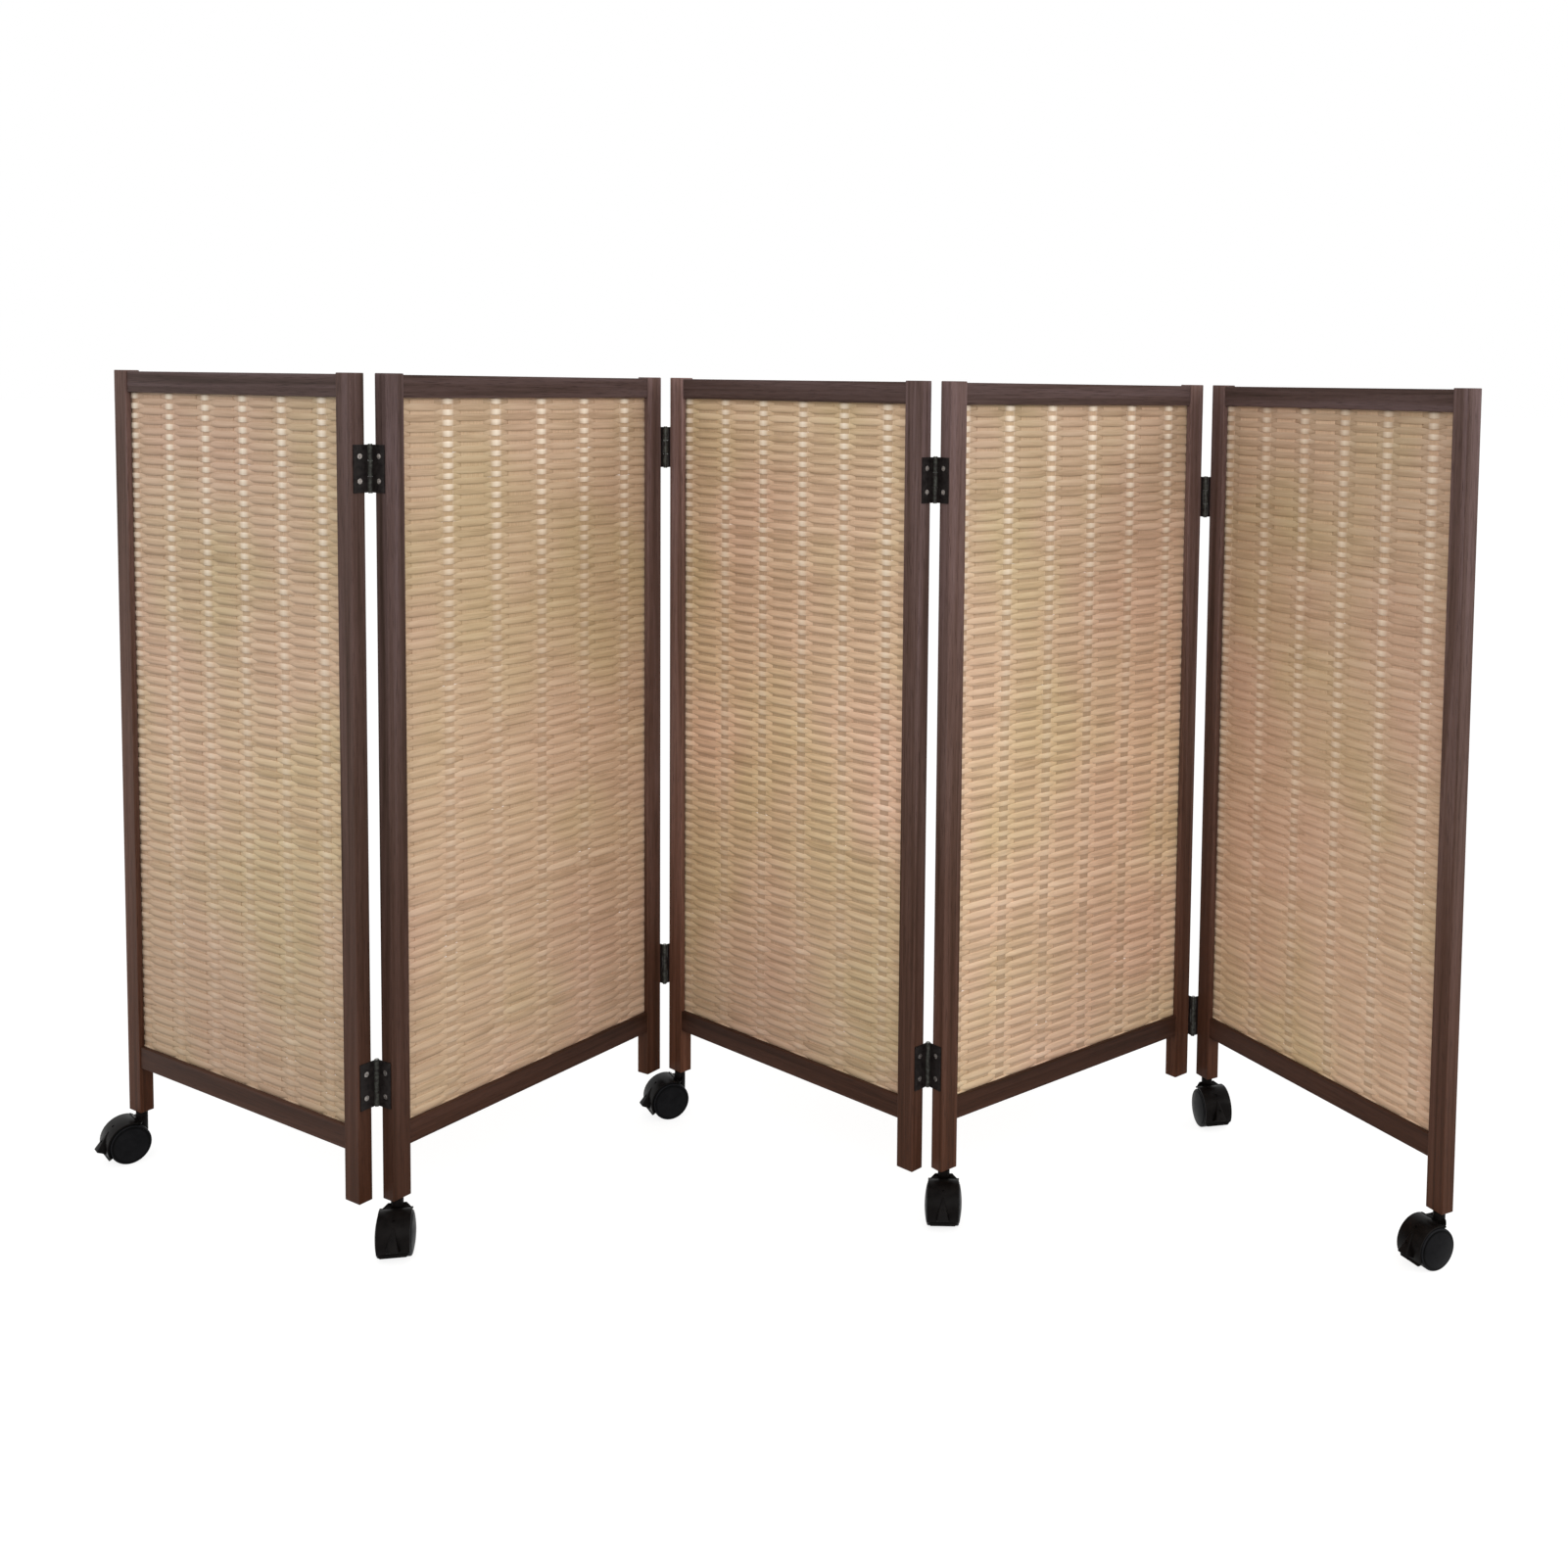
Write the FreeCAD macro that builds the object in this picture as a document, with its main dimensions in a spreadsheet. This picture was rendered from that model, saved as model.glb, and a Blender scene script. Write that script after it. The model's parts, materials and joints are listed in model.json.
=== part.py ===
"""Folding privacy screen: five framed panels, butt hinges at four folds and six twin-wheel casters.

Each panel is drawn in a frame of its own: X runs along the panel from the outer face of its left
post, Y goes away from the viewer and Z goes up from the bottom of the legs. The finished panel is
then turned and set down in the zigzag in which the screen stands. The origin of the whole screen is
on the floor, under the middle of its outline.
"""
import FreeCAD, Part

import math
import os
import re

import Sketcher
from FreeCAD import Placement, Rotation, Vector

# Every driving size, in millimetres and degrees
SIZES = [
    # Panels: two posts, two rails and a woven mat
    ("panel_width", 450.0),
    ("post_face", 25.0),
    ("post_depth", 18.0),
    ("leg_length", 935.0),
    ("post_round", 1.0),
    ("bottom_rail_rise", 58.3),
    ("bottom_rail_height", 27.0),
    ("top_rail_drop", 1.5),
    ("top_rail_height", 25.5),
    ("rail_depth", 15.0),
    ("rail_round", 0.8),
    ("tenon_length", 12.0),
    ("tenon_depth", 8.0),
    ("tenon_height", 14.0),
    ("joint_clearance", 0.1),
    ("mat_thickness", 5.0),
    ("mat_edge", 5.0),
    ("mat_clearance", 0.2),
    ("slat_pitch", 6.15),
    ("slat_hollow", 0.7),
    # Butt hinges, mounted on the end faces of the posts
    ("hinge_height", 53.0),
    ("leaf_reach", 21.5),
    ("leaf_thickness", 1.5),
    ("leaf_gap", 0.5),
    ("knuckle_radius", 3.0),
    ("knuckle_gap", 0.3),
    ("knuckle_swing_gap", 0.4),
    ("pin_stand_off", 6.0),
    ("pin_radius", 1.5),
    ("pin_clearance", 0.05),
    ("pin_head_radius", 2.3),
    ("pin_head_height", 0.9),
    # Countersunk screws, two in each leaf
    ("screw_radius", 1.3),
    ("screw_head_radius", 3.0),
    ("screw_head_height", 1.2),
    ("screw_length", 14.0),
    ("screw_tip", 3.0),
    ("screw_reach", 13.5),
    ("screw_spread", 13.7),
    ("screw_clearance", 0.05),
    ("recess_width", 0.6),
    ("recess_length", 2.8),
    ("recess_depth", 0.7),
    # Rises of the lower hinges' middles above the bottoms of the legs, and drops of the upper ones
    # below their tops
    ("fold_one_hinge_rise", 134.5),
    ("fold_one_hinge_drop", 105.0),
    ("fold_two_hinge_rise", 146.0),
    ("fold_two_hinge_drop", 91.5),
    ("fold_three_hinge_rise", 125.0),
    ("fold_three_hinge_drop", 114.5),
    ("fold_four_hinge_rise", 81.0),
    ("fold_four_hinge_drop", 148.0),
    # How the screen stands: the middle panel's turn and place, and how far each fold is closed
    ("middle_panel_turn", -46.9),
    ("fold_one_angle", 91.6),
    ("fold_two_angle", 100.0),
    ("fold_three_angle", 83.7),
    ("fold_four_angle", 102.5),
    ("middle_panel_along", 54.275),
    ("middle_panel_away", 80.597),
    # Twin-wheel casters
    ("caster_height", 60.0),
    ("caster_width", 44.0),
    ("caster_trail", 18.0),
    ("wheel_radius", 24.5),
    ("wheel_crown", 3.0),
    ("wheel_round", 2.0),
    ("rim_ring", 3.0),
    ("ring_step", 0.5),
    ("rim_wall", 3.5),
    ("disc_wall", 3.5),
    ("wheel_hub_radius", 6.5),
    ("wheel_side_gap", 0.6),
    ("hub_gap", 0.3),
    ("axle_radius", 3.0),
    ("axle_length", 36.0),
    ("axle_clearance", 0.05),
    ("press_clearance", 0.02),
    ("hood_gap", 1.0),
    ("hood_wall", 2.0),
    ("hood_width", 36.5),
    ("hood_round", 1.5),
    ("hood_tail_angle", -27.0),
    ("hood_span", 165.0),
    ("flare_angle", -2.0),
    ("flare_length", 12.5),
    ("flare_thickness", 3.0),
    ("tongue_width", 12.0),
    ("tongue_span", 8.0),
    ("web_thickness", 4.0),
    ("web_radius", 18.0),
    ("housing_hub_radius", 6.0),
    ("neck_radius", 7.0),
    ("neck_depth", 26.0),
    ("tab_radius", 9.5),
    ("tab_height", 0.8),
    ("tab_angle", 8.0),
    ("dimple_radius", 1.8),
    ("dimple_floor", 0.4),
    ("upper_dimple_angle", 54.0),
    ("stem_radius", 4.0),
    ("stem_rise", 32.0),
    ("stem_drop", 24.0),
    ("stem_tip", 1.5),
    ("stem_clearance", 0.05),
    ("stem_bore_clearance", 0.1),
    ("collar_radius", 6.0),
    ("collar_height", 1.5),
    ("collar_gap", 0.3),
    # Where each caster trails while the screen stands, counted from the X axis
    ("caster_one_turn", 215.0),
    ("caster_two_turn", 276.0),
    ("caster_three_turn", 202.0),
    ("caster_four_turn", 264.0),
    ("caster_five_turn", 278.0),
    ("caster_six_turn", 202.0),
    # How far a cutting tool runs past the face that it cuts
    ("overrun", 2.0),
]

NUMBER_WORDS = ["one", "two", "three", "four", "five", "six"]
PANELS = [1, 2, 3, 4, 5]
MIDDLE_PANEL = PANELS[len(PANELS) // 2]
FOLDS = [1, 2, 3, 4]
CASTERS = [1, 2, 3, 4, 5, 6]
# Folds one and three have their pins behind the panels, folds two and four in front of them
PIN_SIDE = {1: 1, 2: -1, 3: 1, 4: -1}
# The casters: under the left leg of each panel, and under the right leg of the last one
CASTER_LEGS = [(1, "left"), (2, "left"), (3, "left"), (4, "left"), (5, "left"), (5, "right")]
HALF_TURN = 180
QUARTER_TURN = 90
FULL_TURN = 360
TRIANGLE_SIDE_COUNT = 3

X_AXIS = Vector(1, 0, 0)
Y_AXIS = Vector(0, 1, 0)
Z_AXIS = Vector(0, 0, 1)

doc = FreeCAD.newDocument("folding_screen")
sheet = doc.addObject("Spreadsheet::Sheet", "Sizes")
ALIASES = [alias for alias, value in SIZES]
for row, (alias, value) in enumerate(SIZES, start=1):
    sheet.set(f"A{row}", alias.replace("_", " "))
    sheet.set(f"B{row}", str(value))
    sheet.setAlias(f"B{row}", alias)
doc.recompute()


def size(alias):
    """Value of one named size."""
    return float(sheet.get(alias))


def cells(text):
    """Expression in which each named size points at its cell of the sheet."""
    return re.sub(r"[a-z_]+", lambda word: f"Sizes.{word[0]}" if word[0] in ALIASES else word[0], text)


def bind(piece, sizes):
    """Bind properties of a piece to expressions in named sizes."""
    for path, text in sizes.items():
        piece.setExpression(path, cells(text))


def at(x="0", y="0", z="0"):
    """Expressions for a piece's place."""
    return {"Placement.Base.x": x, "Placement.Base.y": y, "Placement.Base.z": z}


def box(name, length, width, height, place):
    piece = doc.addObject("Part::Box", name)
    bind(piece, {"Length": length, "Width": width, "Height": height, **place})
    return piece


def cylinder(name, radius, height, place, turn=Rotation(), span=None):
    piece = doc.addObject("Part::Cylinder", name)
    piece.Placement = Placement(Vector(), turn)
    bind(piece, {"Radius": radius, "Height": height, **place})
    if span:
        bind(piece, {"Angle": span})
    return piece


def cone(name, first_radius, second_radius, height, place, turn=Rotation()):
    piece = doc.addObject("Part::Cone", name)
    piece.Placement = Placement(Vector(), turn)
    bind(piece, {"Radius1": first_radius, "Radius2": second_radius, "Height": height, **place})
    return piece


def fuse(name, pieces):
    piece = doc.addObject("Part::MultiFuse", name)
    piece.Shapes = pieces
    return piece


def cut(name, base, tools):
    """Base less all the tools, which may lie apart or cross each other."""
    piece = doc.addObject("Part::Cut", name)
    piece.Base = base
    piece.Tool = tools[0] if len(tools) == 1 else fuse(f"{name}_tools", tools)
    return piece


def ease(name, base, radius):
    """Round every edge of a block, as sandpaper does."""
    doc.recompute()
    piece = doc.addObject("Part::Fillet", name)
    piece.Base = base
    piece.Edges = [(edge, radius, radius) for edge in range(1, len(base.Shape.Edges) + 1)]
    return piece


def copies(name, template, places):
    """The template repeated at several places, as one group of separate solids."""
    links = []
    for number, place in enumerate(places, start=1):
        link = doc.addObject("App::Link", f"{name}_copy_{number}")
        link.LinkedObject = template
        link.Placement = place
        links.append(link)
    group = doc.addObject("Part::Compound", name)
    group.Links = links
    return group


finished = []


def finish(piece, label, place):
    """Name a finished sub-part, set it in its place and keep it for writing."""
    piece.Label = label
    piece.Placement = place
    finished.append(piece)


# Places

def direction(turn):
    return Vector(math.cos(math.radians(turn)), math.sin(math.radians(turn)), 0)


def panel_turns():
    """Turn of every panel about Z, worked out from the middle one and the folds."""
    turns = {MIDDLE_PANEL: size("middle_panel_turn")}
    for fold in FOLDS[MIDDLE_PANEL - 1:]:
        turns[fold + 1] = turns[fold] + PIN_SIDE[fold] * size(f"fold_{NUMBER_WORDS[fold - 1]}_angle")
    for fold in reversed(FOLDS[:MIDDLE_PANEL - 1]):
        turns[fold] = turns[fold + 1] - PIN_SIDE[fold] * size(f"fold_{NUMBER_WORDS[fold - 1]}_angle")
    return turns


def pin_offset_along():
    """From a post's end face to the pin, along the panel."""
    return size("leaf_thickness") + size("leaf_gap") / 2


def pin_offset_away(fold):
    """From a panel's middle plane to the pin, positive behind the panel."""
    return PIN_SIDE[fold] * (size("post_depth") / 2 + size("pin_stand_off"))


def panel_places():
    """Placement of every panel: its left end is at the placement's base."""
    turns = panel_turns()
    across = {panel: direction(turns[panel] + QUARTER_TURN) for panel in PANELS}
    along = {panel: direction(turns[panel]) for panel in PANELS}
    reach = size("panel_width") + pin_offset_along()
    middle = Vector(size("middle_panel_along"), size("middle_panel_away"), size("caster_height"))
    base = {MIDDLE_PANEL: middle - along[MIDDLE_PANEL] * (size("panel_width") / 2)}
    for fold in FOLDS[MIDDLE_PANEL - 1:]:
        pin = base[fold] + along[fold] * reach + across[fold] * pin_offset_away(fold)
        following = fold + 1
        base[following] = (pin + along[following] * pin_offset_along()
                           - across[following] * pin_offset_away(fold))
    for fold in reversed(FOLDS[:MIDDLE_PANEL - 1]):
        following = fold + 1
        pin = (base[following] - along[following] * pin_offset_along()
               + across[following] * pin_offset_away(fold))
        base[fold] = pin - along[fold] * reach - across[fold] * pin_offset_away(fold)
    return {panel: Placement(base[panel], Rotation(Z_AXIS, turns[panel])) for panel in PANELS}


def post_place(side):
    """Post frame within the panel: X runs inwards from the post's outer end face."""
    if side == "left":
        return Placement()
    return Placement(Vector(size("panel_width"), 0, 0), Rotation(Z_AXIS, HALF_TURN))


def hinges_of(panel, side):
    """Hinge frames in a post's own frame: the pin is the Z axis and the leaf lies towards -Y."""
    fold = panel - 1 if side == "left" else panel
    if fold not in FOLDS:
        return []
    pin_side = PIN_SIDE[fold] if side == "left" else -PIN_SIDE[fold]
    turn = Rotation() if pin_side > 0 else Rotation(X_AXIS, HALF_TURN)
    away = pin_side * (size("post_depth") / 2 + size("pin_stand_off"))
    word = NUMBER_WORDS[fold - 1]
    heights = [size(f"fold_{word}_hinge_rise"), size("leg_length") - size(f"fold_{word}_hinge_drop")]
    return [Placement(Vector(-pin_offset_along(), away, height), turn) for height in heights]


def screws_of_hinge():
    """Screw frames in the hinge's frame: Z runs along the screw from the face of its head."""
    into_post = Rotation(Y_AXIS, QUARTER_TURN)
    face = pin_offset_along() - size("leaf_thickness")
    spread = size("screw_spread")
    return [Placement(Vector(face, -size("screw_reach"), height), into_post) for height in (-spread, spread)]


def stem_place(panel_place, side):
    """Foot of the leg that carries a caster."""
    centre = Placement(Vector(size("post_face") / 2, 0, 0), Rotation())
    return panel_place.multiply(post_place(side)).multiply(centre)


# Wooden frame

def post(panel, side, place):
    """Square-edged leg with a groove for the mat, two mortises, and bores for screws and stem."""
    name = f"panel_{panel}_{side}_post"
    blank = box(f"{name}_blank", "post_face", "post_depth", "leg_length", at("0", "-post_depth / 2"))
    eased = ease(f"{name}_eased", blank, size("post_round"))
    groove_width = "(mat_thickness + 2 * mat_clearance)"
    mat_bottom = "(bottom_rail_rise + bottom_rail_height - mat_edge)"
    mat_top = "(leg_length - top_rail_drop - top_rail_height + mat_edge)"
    tools = [box(
        f"{name}_groove", "mat_edge + mat_clearance + overrun", groove_width,
        f"{mat_top} - {mat_bottom} + 2 * mat_clearance",
        at("post_face - mat_edge - mat_clearance", f"-{groove_width} / 2", f"{mat_bottom} - mat_clearance"))]
    for rail, middle in rail_middles().items():
        tools.append(box(
            f"{name}_{rail}_mortise", "tenon_length + joint_clearance + overrun",
            "tenon_depth + 2 * joint_clearance", "tenon_height + 2 * joint_clearance",
            at("post_face - tenon_length - joint_clearance", "-tenon_depth / 2 - joint_clearance",
               f"{middle} - tenon_height / 2 - joint_clearance")))
    if (panel, side) in CASTER_LEGS:
        tools.append(cylinder(
            f"{name}_stem_bore", "stem_radius + stem_bore_clearance", "stem_rise + stem_clearance + overrun",
            at("post_face / 2", "0", "-overrun")))
    pilots = [hinge.multiply(screw) for hinge in hinges_of(panel, side) for screw in screws_of_hinge()]
    if pilots:
        tools.append(copies(f"{name}_pilots", pilot, pilots))
    finish(cut(name, eased, tools), name, place.multiply(post_place(side)))


def rail_middles():
    """Height of the middle of each rail above the bottoms of the legs."""
    return {
        "bottom": "(bottom_rail_rise + bottom_rail_height / 2)",
        "top": "(leg_length - top_rail_drop - top_rail_height / 2)",
    }


def rail(panel, which, place):
    """Rail between the posts, with a tenon at each end and a groove for the mat's edge."""
    name = f"panel_{panel}_{which}_rail"
    middle = rail_middles()[which]
    height = f"{which}_rail_height"
    bar = box(f"{name}_bar", "panel_width - 2 * post_face", "rail_depth", height,
              at("post_face", "-rail_depth / 2", f"{middle} - {height} / 2"))
    eased = ease(f"{name}_eased", bar, size("rail_round"))
    tenons = box(f"{name}_tenons", "panel_width - 2 * post_face + 2 * tenon_length", "tenon_depth",
                 "tenon_height", at("post_face - tenon_length", "-tenon_depth / 2",
                                    f"{middle} - tenon_height / 2"))
    groove_width = "(mat_thickness + 2 * mat_clearance)"
    groove_depth = "(mat_edge + mat_clearance)"
    groove_foot = f"{middle} + {height} / 2 - {groove_depth}"
    if which == "top":
        groove_foot = f"{middle} - {height} / 2 - overrun"
    groove = box(f"{name}_groove", "panel_width - 2 * post_face + 2 * mat_edge + 2 * mat_clearance",
                 groove_width, f"{groove_depth} + overrun",
                 at("post_face - mat_edge - mat_clearance", f"-{groove_width} / 2", groove_foot))
    finish(cut(name, fuse(f"{name}_whole", [eased, tenons]), [groove]), name, place)


def mat(panel, place):
    """Mat of slats laid edge to edge, each swelling between the hollows beside it."""
    name = f"panel_{panel}_mat"
    bottom = size("bottom_rail_rise") + size("bottom_rail_height") - size("mat_edge")
    top = size("leg_length") - size("top_rail_drop") - size("top_rail_height") + size("mat_edge")
    count = round((top - bottom) / size("slat_pitch"))
    pitch = (top - bottom) / count
    start = size("post_face") - size("mat_edge")
    crest = size("mat_thickness") / 2
    hollow = crest - size("slat_hollow")
    edges = []
    for side in (-1, 1):
        for slat in range(count):
            low = Vector(start, side * hollow, bottom + slat * pitch)
            middle = Vector(start, side * crest, low.z + pitch / 2)
            high = Vector(start, side * hollow, low.z + pitch)
            edges.append(Part.Arc(low, middle, high).toShape())
    for height in (bottom, top):
        ends = [Vector(start, side * hollow, height) for side in (-1, 1)]
        edges.append(Part.LineSegment(*ends).toShape())
    outline = Part.Wire(Part.sortEdges(edges)[0])
    piece = doc.addObject("Part::Feature", name)
    piece.Shape = Part.Face(outline).extrude(X_AXIS * (size("panel_width") - 2 * start))
    finish(piece, name, place)


# Butt hinges, in the hinge's frame

def screw_template():
    """Countersunk screw with a cross recess; Z runs along it from the face of its head."""
    head = cone("screw_head", "screw_head_radius", "screw_radius", "screw_head_height", at())
    shank = cylinder("screw_shank", "screw_radius", "screw_length - screw_tip - screw_head_height / 2",
                     at("0", "0", "screw_head_height / 2"))
    tip = cone("screw_point", "screw_radius", "screw_radius / 4", "screw_tip",
               at("0", "0", "screw_length - screw_tip"))
    slots = [
        box("screw_slot", "recess_length", "recess_width", "recess_depth + overrun",
            at("-recess_length / 2", "-recess_width / 2", "-overrun")),
        box("screw_cross_slot", "recess_width", "recess_length", "recess_depth + overrun",
            at("-recess_width / 2", "-recess_length / 2", "-overrun")),
    ]
    return cut("screw", fuse("screw_body", [head, shank, tip]), slots)


def pilot_template():
    """Hole that a screw leaves in the wood, in the screw's frame."""
    return cylinder("pilot", "screw_radius + screw_clearance", "screw_length + screw_clearance", at())


def leaf_template(name, knuckle_tools, barrel_height):
    """Leaf with its share of the three knuckles, cut clear of the other leaf's."""
    plate = box(f"{name}_plate", "leaf_thickness", "leaf_reach", "hinge_height",
                at("leaf_gap / 2", "-leaf_reach", "-hinge_height / 2"))
    notched = cut(f"{name}_notched", plate, knuckle_tools)
    barrel = cylinder(f"{name}_barrel", "knuckle_radius", barrel_height,
                      at("0", "0", f"-({barrel_height}) / 2"))
    return notched, barrel


def screw_holes(name):
    """Countersunk holes of one leaf."""
    tools = []
    into_post = Rotation(Y_AXIS, QUARTER_TURN)
    for level, sign in (("lower", "-"), ("upper", "")):
        place = at("leaf_gap / 2", "-screw_reach", f"{sign}screw_spread")
        through = at("leaf_gap / 2 - overrun", "-screw_reach", f"{sign}screw_spread")
        tools.append(cone(f"{name}_{level}_countersink", "screw_head_radius + screw_clearance",
                          "screw_radius + screw_clearance", "screw_head_height", place, into_post))
        tools.append(cylinder(f"{name}_{level}_hole", "screw_radius + screw_clearance",
                              "leaf_thickness + 2 * overrun", through, into_post))
    return tools


MIDDLE_KNUCKLE = "(hinge_height / 3 - knuckle_gap)"
MIDDLE_NOTCH = "(hinge_height / 3 + knuckle_gap)"


def pin_bore(name):
    return cylinder(f"{name}_pin_bore", "pin_radius + pin_clearance", "hinge_height + 2 * overrun",
                    at("0", "0", "-hinge_height / 2 - overrun"))


def two_knuckle_leaf():
    """Leaf with the outer knuckles, which holds the pin."""
    name = "two_knuckle_leaf"
    swing = cylinder(f"{name}_notch", "knuckle_radius + knuckle_swing_gap", MIDDLE_NOTCH,
                     at("0", "0", f"-{MIDDLE_NOTCH} / 2"))
    notched, barrel = leaf_template(name, [swing], "hinge_height")
    ends = cut(f"{name}_knuckles", barrel, [swing])
    return cut(name, fuse(f"{name}_whole", [notched, ends]), [pin_bore(name), *screw_holes(name)])


def one_knuckle_leaf():
    """Leaf with the middle knuckle."""
    name = "one_knuckle_leaf"
    swings = []
    for level, foot in (("lower", "-hinge_height / 2 - overrun"), ("upper", f"{MIDDLE_KNUCKLE} / 2")):
        swings.append(cylinder(f"{name}_{level}_notch", "knuckle_radius + knuckle_swing_gap",
                               f"hinge_height / 2 - {MIDDLE_KNUCKLE} / 2 + overrun", at("0", "0", foot)))
    notched, barrel = leaf_template(name, swings, MIDDLE_KNUCKLE)
    return cut(name, fuse(f"{name}_whole", [notched, barrel]), [pin_bore(name), *screw_holes(name)])


def pin_template():
    """Hinge pin with a flat head at each end."""
    rod = cylinder("pin_rod", "pin_radius", "hinge_height + pin_head_height",
                   at("0", "0", "-hinge_height / 2 - pin_head_height / 2"))
    heads = [
        cylinder("pin_upper_head", "pin_head_radius", "pin_head_height", at("0", "0", "hinge_height / 2")),
        cylinder("pin_lower_head", "pin_head_radius", "pin_head_height",
                 at("0", "0", "-hinge_height / 2 - pin_head_height")),
    ]
    return fuse("pin", [rod, *heads])


def hinge_parts(panel, place):
    """Leaves, screws and pins that belong to one panel."""
    hinges = []
    for side in ("left", "right"):
        frames = [post_place(side).multiply(hinge) for hinge in hinges_of(panel, side)]
        hinges += frames
    outer_leaf = panel % 2 == 0
    template = outer_leaves if outer_leaf else middle_leaves
    name = f"panel_{panel}_hinge_leaves"
    finish(copies(name, template, hinges), name, place)
    name = f"panel_{panel}_hinge_screws"
    screws = [hinge.multiply(screw_frame) for hinge in hinges for screw_frame in screws_of_hinge()]
    finish(copies(name, screw, screws), name, place)
    if outer_leaf:
        name = f"panel_{panel}_hinge_pins"
        finish(copies(name, pin, hinges), name, place)


# Casters: the swivel axis is the Z axis, the floor is z = 0 and the wheels trail towards +X

AXLE_HEIGHT = "wheel_radius"
WHEEL_FACE = "(neck_radius + wheel_side_gap)"
ALONG_AXLE = Rotation(X_AXIS, QUARTER_TURN)


def across(name, radius, width, turn=Rotation(), span=None):
    """Disc about the wheels' axle, centred between them."""
    place = at("caster_trail", f"({width}) / 2", AXLE_HEIGHT)
    return cylinder(name, radius, width, place, ALONG_AXLE.multiply(turn), span)


def outward(angle):
    """Turn of a piece whose Z axis points away from the axle, and whose X axis points up the hood."""
    around = ALONG_AXLE.multiply(Rotation(Z_AXIS, size(angle)))
    return around.multiply(Rotation(Y_AXIS, QUARTER_TURN)).multiply(Rotation(Z_AXIS, QUARTER_TURN))


def on_ray(angle, distance):
    """Point at a distance from the axle, on the ray that rises at an angle from the tail."""
    ray = outward(angle).multVec(Z_AXIS)
    return at(f"caster_trail + {ray.x} * ({distance})", "0", f"{AXLE_HEIGHT} + {ray.z} * ({distance})")


def across_box(name, angle, near, thickness, foot, height, width):
    """Plate across the caster that stands square to a ray, from one height on its tangent to another."""
    turn = outward(angle)
    plate = doc.addObject("Part::Box", name)
    plate.Placement = Placement(Vector(), turn)
    bind(plate, {"Length": height, "Width": width, "Height": thickness})
    ray, up, side = (turn.multVec(axis) for axis in (Z_AXIS, X_AXIS, Y_AXIS))
    bind(plate, {
        f"Placement.Base.{axis}": f"{start} + {getattr(ray, axis)} * ({near})"
                                  f" + {getattr(up, axis)} * ({foot}) - {getattr(side, axis)} * ({width}) / 2"
        for axis, start in (("x", "caster_trail"), ("y", "0"), ("z", AXLE_HEIGHT))})
    return plate


def soften(base, radius):
    """Round the two curved edges of a slice of a cylinder."""
    doc.recompute()
    piece = doc.addObject("Part::Fillet", f"{base.Name}_softened")
    piece.Base = base
    reach = base.Radius.Value
    curved = [number for number, edge in enumerate(base.Shape.Edges, start=1)
              if edge.Curve.isDerivedFrom("Part::GeomCircle") and math.isclose(edge.Curve.Radius, reach)]
    piece.Edges = [(number, size(radius), size(radius)) for number in curved]
    return piece


def evaluate(text):
    """Value of an expression in named sizes."""
    return float(sheet.evalExpression(cells(text)))


def dome(start, end):
    """Arc from start to end whose middle lies on the Y axis."""
    level = (end.dot(end) - start.dot(start)) / (2 * (end.y - start.y))
    centre = Vector(0, level, 0)
    halfway = (start + end) / 2 - centre
    return Part.Arc(start, centre + halfway * ((end - centre).Length / halfway.Length), end)


def polygon(sketch, points, domes=()):
    """Closed outline, straight but for its domes, with corners bound to expressions in named sizes."""
    corners = [Vector(evaluate(x), evaluate(y), 0) for x, y in points]
    for number in range(len(points)):
        following = (number + 1) % len(points)
        if number in domes:
            sketch.addGeometry(dome(corners[number], corners[following]), False)
            sketch.addConstraint(Sketcher.Constraint("PointOnObject", number, 3, -2))
        else:
            sketch.addGeometry(Part.LineSegment(corners[number], corners[following]), False)
    for number in range(len(points)):
        following = (number + 1) % len(points)
        sketch.addConstraint(Sketcher.Constraint("Coincident", number, 2, following, 1))
    for number, (x, y) in enumerate(points):
        for kind, text in (("DistanceX", x), ("DistanceY", y)):
            if text == "0":
                axis = -2 if kind == "DistanceX" else -1
                sketch.addConstraint(Sketcher.Constraint("PointOnObject", number, 1, axis))
                continue
            index = sketch.addConstraint(Sketcher.Constraint(kind, -1, 1, number, 1, evaluate(text)))
            sketch.setExpression(f"Constraints[{index}]", cells(text))


def on_tread(edge):
    """True for the two circles that end the tread."""
    corner = edge.Vertexes[0]
    reach = math.hypot(corner.X, corner.Z)
    return edge.isClosed() and math.isclose(reach, size("wheel_radius"))


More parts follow.
